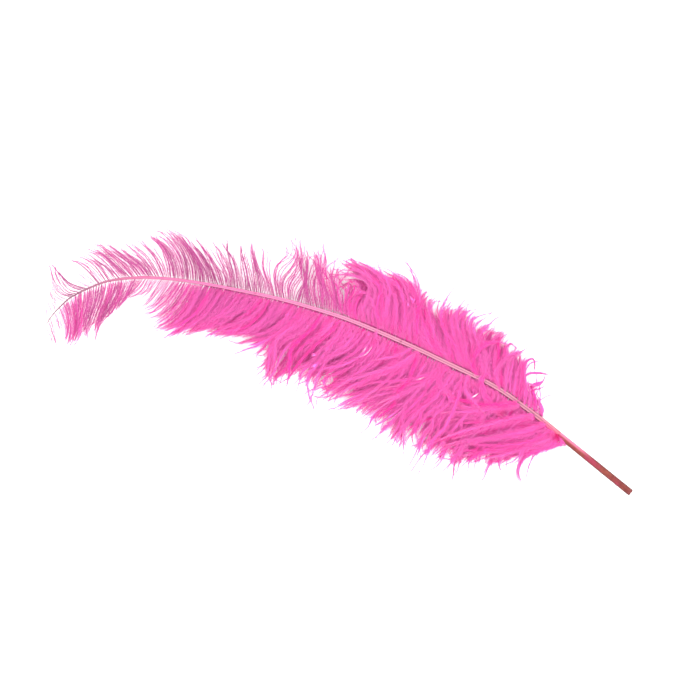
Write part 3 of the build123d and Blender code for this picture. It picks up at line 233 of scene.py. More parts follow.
    (412.9, [(-373.0, 137.2), (-373.7, 128.0), (-375.7, 117.8), (-377.7, 108.3), (-380.5, 100.8)]),
    (416.7, [(-376.4, 135.3), (-376.4, 125.9), (-377.1, 116.4), (-379.1, 107.6), (-381.8, 100.8)]),
    (420.6, [(-379.8, 133.4), (-378.4, 124.6), (-377.7, 116.4), (-379.1, 108.3), (-381.8, 101.5)]),
    (424.9, [(-383.2, 130.8), (-381.1, 123.2), (-379.8, 114.4), (-381.1, 106.2), (-383.9, 100.1)]),
    (428.6, [(-385.9, 128.3), (-383.2, 121.2), (-381.8, 112.3), (-383.2, 104.2), (-385.9, 98.7)]),
    (433.5, [(-389.3, 124.8), (-386.6, 118.5), (-384.5, 112.3), (-383.2, 105.5)]),
    (437.5, [(-392.0, 121.9), (-389.3, 116.4), (-388.6, 111.0)]),
    (442.2, [(-394.7, 118.1), (-392.7, 111.7), (-391.3, 105.5), (-390.7, 97.4)]),
    (447.9, [(-397.5, 113.0), (-395.4, 108.3), (-393.4, 102.8), (-392.0, 97.4)]),
]

FLEX = [129.44, 247.86, 338.48]            # distance along the shaft of the three flex joints
BODIES = ["quill_and_lower_shaft", "middle_shaft", "upper_shaft", "shaft_tip"]
BEND_HALF = 20.0                           # the bend is spread this far each side of a joint
# last distance along the shaft of each lock, numbered from the quill
OUTER_ENDS = [96.1, 112.5, 129.44, 163.4, 191.3, 220.9, 247.86, 270.0, 293.4, 317.5, 338.48, 361.3, 384.8, 409.9, 430.4, 460]
INNER_ENDS = [84.6, 106.6, 129.44, 160.7, 191.0, 219.4, 247.86, 269.7, 292.1, 315.0, 338.48, 370.7, 388.2, 405.5, 418.8, 433.0, 460]
FLOOR = -2.35


# ---------------------------------------------------------------------------------------------
# curves
def catmull(points, steps=12):
    p = np.asarray(points, float)
    p = np.vstack([2 * p[0] - p[1], p, 2 * p[-1] - p[-2]])
    u = np.linspace(0, 1, steps, endpoint=False)[:, None]
    out = []
    for a, b, c, d in zip(p[:-3], p[1:-2], p[2:-1], p[3:]):
        out.append(0.5 * (2 * b + (c - a) * u + (2 * a - 5 * b + 4 * c - d) * u ** 2 + (3 * b - a - 3 * c + d) * u ** 3))
    return np.vstack(out + [p[-2:-1]])


def even(points, n):
    d = np.r_[0, np.cumsum(np.linalg.norm(np.diff(points, axis=0), axis=1))]
    q = np.linspace(0, d[-1], n)
    return np.stack([np.interp(q, d, points[:, k]) for k in range(points.shape[1])], 1), d[-1]


_dense = catmull(np.c_[SHAFT_RUN, np.array(SHAFT)], 16)
D_RUN, D_X, D_Y, D_Z, D_W = _dense.T


def shaft_at(s):
    return (np.interp(s, D_RUN, D_X), np.interp(s, D_RUN, D_Y), np.interp(s, D_RUN, D_Z), np.interp(s, D_RUN, D_W))


def heading_at(s):
    x0, y0, _, _ = shaft_at(np.asarray(s) - 3.0)
    x1, y1, _, _ = shaft_at(np.asarray(s) + 3.0)
    n = np.hypot(x1 - x0, y1 - y0)
    return (x1 - x0) / n, (y1 - y0) / n


def height_share(s):
    return 0.98 + (0.85 - 0.98) * np.asarray(s) / 450.0


def smooth(x):
    x = np.clip(x, 0, 1)
    return x * x * (3 - 2 * x)


# ---------------------------------------------------------------------------------------------
# meshes
def build_mesh(name, verts, tris, uv, attrs):
    """A triangle mesh in metres from arrays: verts (V,3) mm, tris (T,3), uv (V,2), attrs {name: (V,)}."""
    mesh = bpy.data.meshes.new(name)
    mesh.vertices.add(len(verts))
    mesh.vertices.foreach_set("co", (verts * MM).astype(np.float32).ravel())
    mesh.loops.add(len(tris) * 3)
    mesh.loops.foreach_set("vertex_index", tris.astype(np.int32).ravel())
    mesh.polygons.add(len(tris))
    mesh.polygons.foreach_set("loop_start", np.arange(0, len(tris) * 3, 3, dtype=np.int32))
    mesh.polygons.foreach_set("loop_total", np.full(len(tris), 3, np.int32))
    mesh.polygons.foreach_set("use_smooth", np.ones(len(tris), bool))
    layer = mesh.uv_layers.new(name="OFBake")
    layer.data.foreach_set("uv", uv[tris.ravel()].astype(np.float32).ravel())
    mesh.update()
    for key, values in attrs.items():
        a = mesh.attributes.new(key, "FLOAT", "POINT")
        a.data.foreach_set("value", values.astype(np.float32))
    obj = bpy.data.objects.new(name, mesh)
    bpy.context.scene.collection.objects.link(obj)
    return obj


def frames(path):
    """Unit tangent, side and up vectors along each path, path (B, n, 3)."""
    t = np.gradient(path, axis=1)
    t /= np.linalg.norm(t, axis=2, keepdims=True) + 1e-9
    side = np.cross(t, np.array([0.0, 0.0, 1.0]))
    side /= np.linalg.norm(side, axis=2, keepdims=True) + 1e-9
    up = np.cross(side, t)
    return t, side, up


class Fibres:
    """Collects the tubes and spikes of one lock as arrays."""

    def __init__(self):
        self.v, self.f, self.uv, self.n = [], [], [], 0
        self.a = {"along": [], "tone": [], "dye": [], "fray": [], "core": []}

    def add(self, verts, tris, uv, **attrs):
        self.v.append(verts.reshape(-1, 3))
        self.f.append(tris.reshape(-1, 3) + self.n)
        self.uv.append(uv.reshape(-1, 2))
        for k in self.a:
            self.a[k].append(np.broadcast_to(attrs[k], verts.shape[:-1]).reshape(-1))
        self.n += verts.reshape(-1, 3).shape[0]

    def object(self, name):
        v = np.vstack(self.v)
        v[:, :2] = parted(v[:, :2])
        return build_mesh(name, v, np.vstack(self.f), np.vstack(self.uv),
                          {k: np.concatenate(v) for k, v in self.a.items()})


ANG = np.radians([90, 210, 330])


def tube_tris(n, rings):
    """Triangles of n closed three-sided tubes of that many rings: sides and two end caps."""
    one = []
    for r in range(rings - 1):
        for k in range(3):
            a, b = r * 3 + k, r * 3 + (k + 1) % 3
            c, d = a + 3, b + 3
            one += [(a, b, d), (a, d, c)]
    one += [(0, 2, 1), (rings * 3 - 3, rings * 3 - 2, rings * 3 - 1)]
    one = np.array(one)[:, ::-1]
    return (np.arange(n)[:, None, None] * rings * 3 + one[None]).reshape(-1, 3)


def spike_tris(n):
    """Triangles of n closed spikes: a ring of three, a ring of three and a point."""
    one = []
    for k in range(3):
        a, b = k, (k + 1) % 3
        one += [(a, b, b + 3), (a, b + 3, a + 3), (a + 3, b + 3, 6)]
    one += [(0, 2, 1)]
    one = np.array(one)[:, ::-1]
    return (np.arange(n)[:, None, None] * 7 + one[None]).reshape(-1, 3)


def cone_tris(n):
    """Triangles of n closed cones: a ring of three and a point."""
    one = np.array([(0, 1, 3), (1, 2, 3), (2, 0, 3), (0, 2, 1)])[:, ::-1]
    return (np.arange(n)[:, None, None] * 4 + one[None]).reshape(-1, 3)


# ---------------------------------------------------------------------------------------------
# barbs
POINTS = 24


def guide_set(table):
    runs = np.array([g[0] for g in table])
    curves, lengths = [], []
    for _, pts in table:
        c, length = even(catmull(pts), POINTS)
        curves.append(c)
        lengths.append(length)
    return runs, np.array(curves), np.array(lengths)


# single strands that leave the run of the vane: side, distance along the shaft, plan points and heights, how many
STRANDS = [
    ("inner", 66.0, [(-52.0, 42.3, 1.2), (-51.3, 37.5, 1.8), (-54.1, 33.5, 1.6), (-60.9, 30.7, 1.6), (-72.4, 28.7, 1.2), (-86.0, 26.0, 0.2)], 12, 1.0),
    ("inner", 67.0, [(-53.4, 43.3, 1.4), (-54.1, 38.9, 2.4), (-58.1, 35.5, 2.8), (-66.3, 32.8, 2.6), (-79.2, 30.1, 1.8)], 12, 1.2),
    ("inner", 66.0, [(-51.3, 41.6, 1.0), (-48.6, 36.9, 1.2), (-47.3, 33.8, 0.8), (-52.0, 32.1, 0.4), (-58.8, 30.1, 0.0)], 8, 0.6),
    ("inner", 68.0, [(-53.4, 43.0, 1.4), (-65.6, 35.5, 2.4), (-82.6, 30.7, 3.2), (-103.0, 28.0, 3.0), (-122.1, 26.7, 1.8), (-132.9, 30.1, 0.8)], 15, 3.4),
    ("inner", 76.0, [(-57.5, 46.4, 2.2), (-72.4, 41.6, 4.2), (-92.8, 38.2, 5.2), (-113.2, 36.2, 5.0), (-130.2, 32.1, 3.6), (-138.4, 28.0, 1.6)], 15, 3.8),
    ("inner", 90.0, [(-65.6, 52.5, 3.4), (-82.6, 49.8, 5.6), (-103.0, 47.1, 6.8), (-123.4, 45.7, 6.6), (-140.4, 43.0, 5.2), (-152.0, 36.2, 3.0)], 15, 3.8),
    ("inner", 104.0, [(-75.8, 60.0, 4.8), (-89.4, 57.9, 6.6), (-109.8, 56.6, 7.8), (-130.2, 57.9, 8.0), (-147.2, 55.2, 7.0), (-160.8, 47.1, 4.6)], 13, 3.6),
    ("inner", 134.0, [(-109.8, 81.1, 7.0), (-112.5, 71.5, 8.6), (-105.7, 60.7, 8.6), (-96.2, 51.1, 7.4), (-88.1, 43.0, 5.8)], 7, 1.6),
    ("inner", 158.0, [(-130.2, 90.6, 7.4), (-131.6, 78.3, 9.4), (-123.4, 66.8, 9.4), (-111.9, 57.3, 8.4), (-103.0, 47.1, 6.6)], 7, 1.8),
    ("inner", 150.0, [(-123.4, 87.5, 7.2), (-135.7, 79.0, 9.6), (-156.1, 72.9, 10.0), (-176.5, 68.8, 8.8), (-191.4, 62.0, 6.0)], 11, 3.8),
    ("inner", 176.0, [(-143.8, 97.4, 8.2), (-157.4, 87.9, 10.2), (-176.5, 81.1, 10.4), (-194.8, 77.0, 8.8), (-210.5, 68.8, 6.0)], 11, 3.8),
    ("outer", 128.0, [(-104.4, 78.3, 6.4), (-107.1, 89.2, 8.4), (-100.3, 98.7, 8.0), (-89.4, 101.5, 6.2), (-79.9, 97.4, 4.2)], 3, 1.6),
    ("outer", 112.0, [(-89.4, 70.2, 5.4), (-91.5, 82.4, 7.2), (-86.0, 91.9, 6.4), (-77.2, 94.7, 4.8), (-67.7, 96.0, 3.0)], 3, 1.6),
    ("outer", 178.0, [(-171.7, 113.7, 9.0), (-173.7, 108.9, 9.9), (-173.1, 103.5, 9.9), (-171.0, 97.4, 9.3), (-166.9, 89.9, 8.4)], 4, 0.60),
    ("outer", 104.0, [(-97.6, 82.4, 6.6), (-101.7, 77.7, 7.2), (-101.7, 71.5, 7.3), (-98.3, 63.4, 7.2), (-92.8, 56.6, 6.8), (-84.0, 49.8, 5.6)], 6, 1.3),
    ("inner", 112.0, [(-108.0, 76.0, 6.4), (-103.0, 70.0, 5.8), (-96.0, 60.0, 4.4), (-90.0, 50.0, 3.4), (-88.0, 41.0, 2.4)], 8, 0.9),
    ("inner", 72.0, [(-53.5, 43.2, 1.2), (-49.4, 38.4, 1.2), (-47.4, 35.0, 0.8), (-52.0, 32.6, 0.0), (-60.0, 30.6, -0.6), (-66.0, 30.0, -0.8)], 7, 0.5),
    ("inner", 70.0, [(-52.0, 42.0, 1.4), (-47.6, 36.6, 1.2), (-44.9, 33.8, 0.6), (-47.0, 32.2, 0.0)], 6, 0.5),
    ("inner", 71.0, [(-52.6, 42.6, 1.4), (-56.0, 37.0, 1.8), (-63.0, 34.4, 1.4), (-70.0, 35.4, 1.0), (-76.0, 38.0, 0.8)], 8, 0.7),
    ("inner", 76.0, [(-58.0, 46.8, 1.4), (-64.0, 33.0, 0.4), (-70.0, 27.4, -0.6), (-75.4, 20.2, -1.0), (-77.2, 13.4, -1.2), (-75.2, 7.4, -1.2), (-72.4, 4.8, -1.3)], 5, 0.5),
    ("inner", 96.0, [(-74.0, 59.6, 2.4), (-86.0, 40.0, 1.4), (-93.0, 26.0, -0.2), (-97.6, 17.6, -0.8), (-100.6, 10.2, -1.2), (-105.0, 4.8, -1.2), (-106.0, 3.0, -1.3)], 4, 0.5),
    ("inner", 112.0, [(-90.0, 71.0, 4.4), (-106.0, 44.0, 1.8), (-116.0, 30.0, 0.2), (-120.0, 20.0, -0.6), (-120.8, 12.6, -1.1), (-122.0, 6.6, -1.3)], 4, 0.5),
    ("inner", 128.0, [(-104.0, 78.6, 6.0), (-122.0, 46.0, 2.4), (-134.0, 33.0, 0.6), (-142.0, 26.0, -0.4), (-147.6, 18.0, -1.0), (-152.9, 10.1, -1.3)], 3, 0.4),
    ("inner", 120.0, [(-97.0, 75.0, 5.4), (-116.0, 44.0, 2.0), (-126.0, 32.0, 0.4), (-131.0, 22.0, -0.6), (-139.3, 14.6, -1.1)], 2, 0.4),
    ("inner", 160.0, [(-131.0, 92.0, 8.0), (-150.0, 60.0, 4.0), (-163.0, 48.0, 1.6), (-170.0, 42.0, 0.0), (-174.0, 36.5, -0.8), (-183.5, 37.3, -1.1)], 3, 0.4),
    ("inner", 156.0, [(-128.0, 90.0, 7.6), (-146.0, 58.0, 3.6), (-158.0, 44.0, 1.2), (-165.0, 35.0, -0.4), (-171.0, 32.8, -1.0)], 2, 0.4),
    ("outer", 150.0, [(-123.6, 87.2, 7.2), (-122.0, 104.0, 8.0), (-119.0, 116.0, 6.4), (-113.0, 123.5, 4.6), (-105.0, 125.6, 3.2), (-101.9, 126.8, 2.8)], 2, 0.4),
    ("outer", 128.0, [(-104.4, 78.3, 6.4), (-104.0, 94.0, 7.0), (-101.0, 105.0, 5.4), (-96.0, 111.0, 4.0), (-91.7, 114.4, 3.0)], 2, 0.4),
    ("outer", 122.0, [(-99.0, 75.6, 6.0), (-97.0, 92.0, 6.6), (-94.0, 104.0, 5.0), (-88.0, 108.4, 3.6), (-83.8, 113.2, 2.6)], 2, 0.4),
    ("outer", 108.0, [(-86.0, 67.6, 5.0), (-84.6, 82.0, 5.4), (-82.0, 92.0, 4.0), (-75.0, 96.2, 2.8), (-69.0, 99.6, 2.0)], 2, 0.4),
    ("outer", 92.0, [(-73.0, 59.6, 3.4), (-71.4, 70.0, 4.0), (-73.0, 78.0, 3.2), (-69.6, 81.6, 2.4), (-62.0, 82.0, 1.6), (-55.0, 81.0, 1.2), (-51.8, 80.0, 1.0)], 3, 0.4),
    ("outer", 88.0, [(-70.0, 57.4, 3.2), (-68.6, 68.0, 3.6), (-70.0, 74.6, 2.8), (-66.0, 72.8, 2.2), (-61.4, 74.2, 1.6), (-58.6, 78.6, 1.2), (-57.8, 82.6, 1.0)], 3, 0.4),
    ("outer", 98.0, [(-76.6, 62.4, 3.8), (-74.6, 74.0, 4.2), (-74.6, 84.0, 3.4), (-71.4, 90.0, 2.6), (-66.4, 91.6, 1.8), (-65.2, 86.6, 1.8), (-66.0, 82.6, 2.0)], 3, 0.4),
]


# pale near-white strands laid where the vane parts, standing in for the bright floor seen through the gaps: painted
# light, short and smooth
PALE_GAP_STRANDS = [
    ("inner", 227.0, [(-202.3, 110.3, 9.4), (-206.4, 107.6, 10.0), (-211.1, 104.9, 9.8), (-213.9, 103.5, 9.2)], 4, 0.30),
    ("inner", 226.0, [(-200.9, 106.9, 9.4), (-203.7, 104.2, 10.2), (-206.4, 101.8, 10.0), (-208.4, 101.5, 9.4)], 4, 0.35),
    ("inner", 202.0, [(-175.8, 102.8, 9.4), (-177.1, 98.7, 10.4), (-180.5, 94.7, 10.4), (-185.3, 92.6, 9.8), (-190.1, 91.9, 9.0)], 5, 0.30),
    ("inner", 203.0, [(-179.2, 101.5, 9.6), (-181.9, 97.4, 10.4), (-183.9, 95.3, 10.2)], 4, 0.40),
    ("inner", 120.0, [(-103.7, 68.1, 7.6), (-106.4, 66.1, 8.6), (-109.8, 64.1, 8.4), (-111.9, 63.4, 7.8)], 3, 0.28),
    ("inner", 146.0, [(-128.2, 73.6, 8.4), (-132.3, 71.5, 9.4), (-135.7, 69.5, 9.0)], 3, 0.25),
    ("inner", 158.0, [(-139.1, 79.7, 9.2), (-143.8, 77.7, 10.0), (-148.6, 76.3, 9.6)], 3, 0.25),
]


def strand_set(table, side, rng):
    """Paths, root distances and lengths of the single strands of one side."""
    path, roots = [], []
    for which, run, pts, count, spread in table:
        if which != side:
            continue
        line, _ = even(catmull(pts), POINTS)
        t = np.linspace(0, 1, POINTS)
        tan = np.gradient(line, axis=0)
        tan /= np.linalg.norm(tan, axis=1, keepdims=True)
        nrm = np.stack([-tan[:, 1], tan[:, 0]], 1)
        for _ in range(count):
            q = line.copy()
            off = rng.normal(0, spread) * (0.35 + 0.65 * t) + rng.normal(0, spread * 0.6) * np.sin(2 * np.pi * (0.7 * t + rng.random())) * t
            q[:, :2] += nrm * off[:, None]
            q[:, 2] += rng.normal(0, 0.25 + 0.35 * spread) * np.sin(np.pi * t) ** 0.7
            if spread > 3:                       # wide bundles cross at small angles
                turn = rng.normal(0, 0.15) * t
                rel = q[:, :2] - q[0, :2]
                q[:, 0] = q[0, 0] + rel[:, 0] * np.cos(turn) - rel[:, 1] * np.sin(turn)
                q[:, 1] = q[0, 1] + rel[:, 0] * np.sin(turn) + rel[:, 1] * np.cos(turn)
            end = 0.88 + 0.12 * rng.random() if spread < 1.5 else 0.45 + 0.55 * rng.random()
            k = np.linspace(0, end * (POINTS - 1), POINTS)
            q = np.stack([np.interp(k, np.arange(POINTS), q[:, c]) for c in range(3)], 1)
            q[:, 2] = np.maximum(q[:, 2], FLOOR + 0.35)
            path.append(q)
            roots.append(run)
    path = np.array(path).reshape(-1, POINTS, 3)
    length = np.linalg.norm(np.diff(path, axis=1), axis=2).sum(1)
    return np.array(roots, float), path, length


OUTER = guide_set(OUTER_GUIDES)
INNER = guide_set(INNER_GUIDES)

# region tables against distance along the shaft: how dense the down is, and how deep the dye
DENSE = {
    "outer": ([60, 90, 130, 205, 246, 262, 290, 330, 365, 385, 400, 450], [0.90, 1.0, 1.0, 0.92, 0.60, 0.44, 0.38, 0.42, 0.56, 0.50, 0.36, 0.28]),
    "inner": ([60, 90, 130, 240, 300, 332, 352, 372, 388, 400, 425, 436, 450], [1.0, 1.0, 1.0, 1.0, 0.92, 0.74, 0.44, 0.50, 0.64, 0.58, 0.62, 0.55, 0.36]),
}
DYE = {
    "outer": ([60, 100, 150, 220, 250, 300, 350, 400, 450], [0.92, 0.92, 0.92, 0.86, 0.55, 0.36, 0.40, 0.30, 0.15]),
    "inner": ([60, 100, 150, 220, 300, 340, 370, 400, 415, 430, 450], [1.0, 1.0, 1.0, 1.0, 0.95, 0.66, 0.48, 0.50, 0.62, 0.60, 0.25]),
}
# how far the barbs stray from their neighbours
MESS = {
    "outer": ([60, 90, 130, 180, 225, 260, 330, 380, 450], [1.0, 1.0, 0.8, 0.6, 0.9, 0.8, 0.55, 0.5, 0.4]),
    "inner": ([60, 90, 130, 180, 240, 260, 340, 380, 450], [1.3, 1.4, 1.1, 0.9, 0.6, 0.4, 0.4, 0.5, 0.4]),
}
# gaps in the vane where the barbs part: centre, unit direction, half length, half width, reach
PARTINGS = [
    ((-206.8, 76.5), (0.97, 0.22), 6.5, 1.3, 5.0), ((-147.5, 128.5), (0.45, -0.89), 5.5, 1.1, 4.0),
    ((-152.4, 127.5), (0.30, -0.95), 5.0, 1.0, 4.0), ((-213.0, 88.0), (0.85, 0.52), 6.0, 1.0, 4.0),
    ((-217.0, 93.0), (0.85, 0.52), 5.0, 0.8, 4.0),
]
# outline of the thick of the plume over its lower half: most barbs end at it
MASS = [(-41.8, 32.1), (-48.6, 32.8), (-62.2, 28.0), (-75.8, 27.0), (-84.7, 22.6), (-98.3, 20.5), (-111.9, 22.6), (-121.4, 21.2),
        (-130.2, 24.6), (-139.1, 28.0), (-145.2, 31.4), (-157.4, 32.8), (-164.2, 38.2), (-171.0, 45.0), (-177.8, 53.2), (-184.6, 54.5),
        (-191.4, 56.6), (-198.2, 60.0), (-208.4, 63.4), (-225.4, 49.8), (-225.4, 172.2), (-208.4, 169.5), (-194.8, 161.3), (-181.2, 155.2),
        (-167.6, 151.1), (-156.1, 148.4), (-149.3, 143.6), (-142.5, 138.2), (-130.2, 133.4), (-116.6, 126.6), (-109.8, 120.5), (-101.0, 115.1),
        (-91.5, 110.3), (-84.7, 106.2), (-77.9, 98.7), (-73.1, 90.6), (-73.1, 77.0), (-70.4, 68.1), (-64.9, 57.3), (-54.1, 47.7),
        (-41.8, 38.2)]
SPACING = 1.0
BARBULES = 6.0                             # barbules per millimetre of barb on each side, where the down is densest


def parted(xy):
    """Points in plan, moved aside from the gaps in the vane."""
    out = xy.copy()
    for c, e, length, width, reach in PARTINGS:
        e = np.array(e) / math.hypot(*e)
        q = xy - np.array(c)
        u = q @ e
        v = q @ np.array([-e[1], e[0]])
        open_ = width * np.clip(1 - (u / length) ** 2, 0, 1)
        near = (open_ > 0) & (np.abs(v) < reach)
        side = np.where(v >= 0, 1.0, -1.0)
        move = side * open_ * (1 - np.abs(v) / reach)
        out += np.where(near, move, 0.0)[..., None] * np.array([-e[1], e[0]])
    return out


def inside_mass(xy):
    """Whether points in plan lie inside the outline of the thick of the plume."""
    inside = np.zeros(xy.shape[:-1], bool)
    x, y = xy[..., 0], xy[..., 1]
    for (x0, y0), (x1, y1) in zip(MASS, MASS[1:] + MASS[:1]):
        cross = (y0 > y) != (y1 > y)
        at = (x1 - x0) * (y - y0) / ((y1 - y0) if y1 != y0 else 1e-9) + x0
        inside ^= cross & (x < at)
    return inside


def barb_paths(side, roots, rng, stray=0.0):
    """Centre lines of the barbs that leave the shaft at the given distances along it."""
    runs, curves, lengths = OUTER if side == "outer" else INNER
    b = len(roots)
    i = np.clip(np.searchsorted(runs, roots) - 1, 0, len(runs) - 2)
    f = np.clip((roots - runs[i]) / np.maximum(runs[i + 1] - runs[i], 1e-6), 0, 1)
    near = (f > 0.5).astype(float)
    t = np.linspace(0, 1, POINTS)[None, :, None]
    thick = np.interp(roots, *DENSE[side])
    clump = np.clip(0.50 - 0.36 * thick + 0.22 * rng.standard_normal(b), 0.0, 0.9)[:, None, None] * (1 - 0.7 * stray)
    mess = np.interp(roots, *MESS[side]) * (1 + 0.9 * stray)
    # barbs hang together in small bunches
    bunch = np.cumsum(rng.random(b) < 0.24)
    bunch = bunch - bunch[0]
    count = bunch[-1] + 1
    w = f[:, None, None] + (near - f)[:, None, None] * clump * smooth(t * 1.25)
    rel = curves - curves[:, :1]
    path = rel[i] * (1 - w) + rel[i + 1] * w
    x, y, z, width = shaft_at(roots)
    hx, hy = heading_at(roots)
    # outer barbs leave to the right of the heading in plan, inner ones to the left
    sign = 1.0 if side == "outer" else -1.0
    nx, ny = hy * sign, -hx * sign
    root = np.stack([x + nx * width * 0.42, y + ny * width * 0.42], 1)
    pull = np.where(near[:, None] > 0, curves[i + 1, 0], curves[i, 0]) - np.stack([x, y], 1)
    path = path + root[:, None, :] + pull[:, None, :] * clump * smooth(t * 1.1)
    # every barb ends a little sooner or later than its neighbours
    cut = 1.0 - 0.42 * rng.random(b) ** 2.6
    cut *= 1.0 + 0.03 * rng.standard_normal(b)
    cut = np.clip(cut, 0.35, 1.03)
    # and few of them reach past the thick of the plume
    out = ~inside_mass(path)
    out[:, :6] = False
    first_out = np.where(out.any(1), out.argmax(1), POINTS - 1) / (POINTS - 1.0)
    held = (roots < 228) & (rng.random(b) < 0.74)
    cut = np.where(held, np.minimum(cut, first_out * rng.normal(0.97, 0.05, b)), cut)
    cut = np.clip(cut, 0.30, 1.03)
    length = lengths[i] * (1 - f) + lengths[i + 1] * f
    q = np.linspace(0, 1, POINTS)[None, :] * cut[:, None]
    k = np.clip(q * (POINTS - 1), 0, POINTS - 1.0001)
    k0 = k.astype(int)
    fr = (k - k0)[..., None]
    rows = np.arange(b)[:, None]
    path = path[rows, k0] * (1 - fr) + path[rows, np.minimum(k0 + 1, POINTS - 1)] * fr
    even_run = path.copy()
    length = length * cut
    # waviness across the barb, and a flick at its end
    tt = np.linspace(0, 1, POINTS)[None, :]
    tan = np.gradient(path, axis=1)
    tan /= np.linalg.norm(tan, axis=2, keepdims=True) + 1e-9
    nrm = np.stack([-tan[..., 1], tan[..., 0]], 2)
    scale = np.clip(length / 50.0, 0.3, 1.3)[:, None]
    m1 = mess[:, None]

    def shared(sd, own):
        return (rng.normal(0, sd, (count, 1))[bunch] + rng.normal(0, own, (b, 1))) * m1

    phase = rng.random((count, 1))[bunch] + 0.12 * rng.standard_normal((b, 1))
    a1 = shared(0.75, 0.55) * scale
    a2 = shared(0.25, 0.42) * scale
    a3 = shared(9.0, 9.0) * scale
    lean = shared(0.020, 0.035 + 0.075 * stray)
    turn = shared(0.030, 0.070 + 0.05 * stray)
    wave = (a1 * np.sin(2 * np.pi * (0.8 * tt + phase)) * tt
            + a2 * np.sin(2 * np.pi * (2.6 * tt + rng.random((b, 1)))) * tt ** 0.7
            + a3 * np.where(held[:, None], 1.0, 1.9) * np.clip(tt - 0.68, 0, 1) ** 2
            + length[:, None] * (lean * tt + turn * tt ** 3))
    path = path + nrm * wave[..., None]
    # and draw together towards their ends
    centre = np.zeros((count, POINTS, 2))
    np.add.at(centre, bunch, path)
    centre /= np.bincount(bunch, minlength=count)[:, None, None]
    tie = np.clip(0.42 - 0.34 * thick + 0.22 * rng.standard_normal(b), 0.0, 0.85)[:, None, None] * (1 - 0.8 * stray)
    tie = tie * smooth(tt * 1.15)[..., None]
    path = path + (centre[bunch] - path) * tie
    # free ends run on past the edge as a curled thread
    free = (~held) & (roots < 262) & (rng.random(b) < 0.75) & (length > 10)
    if free.any():
        q = path[free]
        nf = len(q)
        ahead = q[:, -1] - q[:, -3]
        a0 = np.arctan2(ahead[:, 1], ahead[:, 0])
        extra = rng.uniform(3.0, 12.0, nf)
        bend = rng.normal(0, 1.1, nf)
        ks = np.linspace(0, 1, 9)[1:]
        tails, at, ang = [], q[:, -1], a0
        for j in range(8):
            ang = a0 + bend * ks[j] ** 1.3 + 0.25 * np.sin(5 * ks[j] + a0)
            at = at + (extra / 8)[:, None] * np.stack([np.cos(ang), np.sin(ang)], 1)
            tails.append(at)
        q = np.concatenate([q, np.stack(tails, 1)], 1)
        step = np.linalg.norm(np.diff(q, axis=1), axis=2)
        run = np.concatenate([np.zeros((nf, 1)), np.cumsum(step, 1)], 1)
        new = np.empty((nf, POINTS, 2))
        for j in range(nf):
            even_at = np.linspace(0, run[j, -1], POINTS)
            new[j, :, 0] = np.interp(even_at, run[j], q[j, :, 0])
            new[j, :, 1] = np.interp(even_at, run[j], q[j, :, 1])
        path[free] = new
        length = length.copy()
        length[free] = run[:, -1]
    # height: off the shaft's shoulder, over a low arch, and down
    z0 = z + 0.06 * width
    loft = (rng.beta(1.3, 1.9, b) * (1 - 0.6 * stray) + 0.6 * stray)[:, None]
    drop = np.minimum(z - FLOOR - 0.5, 0.30 * length + 1.0)[:, None]
    arch = (1.2 + 0.055 * length)[:, None]
    zz = z0[:, None] - drop * tt ** 1.35 * (1 - 0.55 * loft) + arch * loft * np.sin(np.pi * np.clip(tt, 0, 1) ** 0.8)
    zz = zz + rng.normal(0, 0.35, (b, 1)) * np.sin(2 * np.pi * (1.7 * tt + rng.random((b, 1)))) * tt
    zz = np.maximum(zz, FLOOR + 0.35)
    # the felted down under the barbs keeps to the even run of the vane
    low = z0[:, None] - drop * tt ** 1.35 * 0.9 + 0.3 * arch * np.sin(np.pi * tt ** 0.8) - 0.5
    felt = np.dstack([even_run, np.maximum(low, FLOOR + 0.15)[..., None]])
    return np.dstack([path, zz[..., None]]), length, felt


def sample(path, at):
    """Points at parameters at (B, m) along paths (B, n, c)."""
    n = path.shape[1]
    k = np.clip(at * (n - 1), 0, n - 1.0001)
    k0 = k.astype(int)
    fr = (k - k0)[..., None]
    rows = np.arange(len(path))[:, None]
    return path[rows, k0] * (1 - fr) + path[rows, k0 + 1] * fr


# where the dye pooled: centre, reach and strength
POOLS = [((-51.0, 40.2), (4.5, 3.0), 0.75), ((-88.0, 55.4), (7.0, 2.6), 0.55), ((-70.5, 44.8), (8.0, 3.0), 0.35)]


def pooled(xy):
    over = np.zeros(xy.shape[:-1])
    for c, (rx, ry), amount in POOLS:
        u = (xy[..., 0] - c[0]) * 0.87 + (xy[..., 1] - c[1]) * 0.5
        v = -(xy[..., 0] - c[0]) * 0.5 + (xy[..., 1] - c[1]) * 0.87
        over = over + amount * np.exp(-(u / rx) ** 2 - (v / ry) ** 2)
    return over


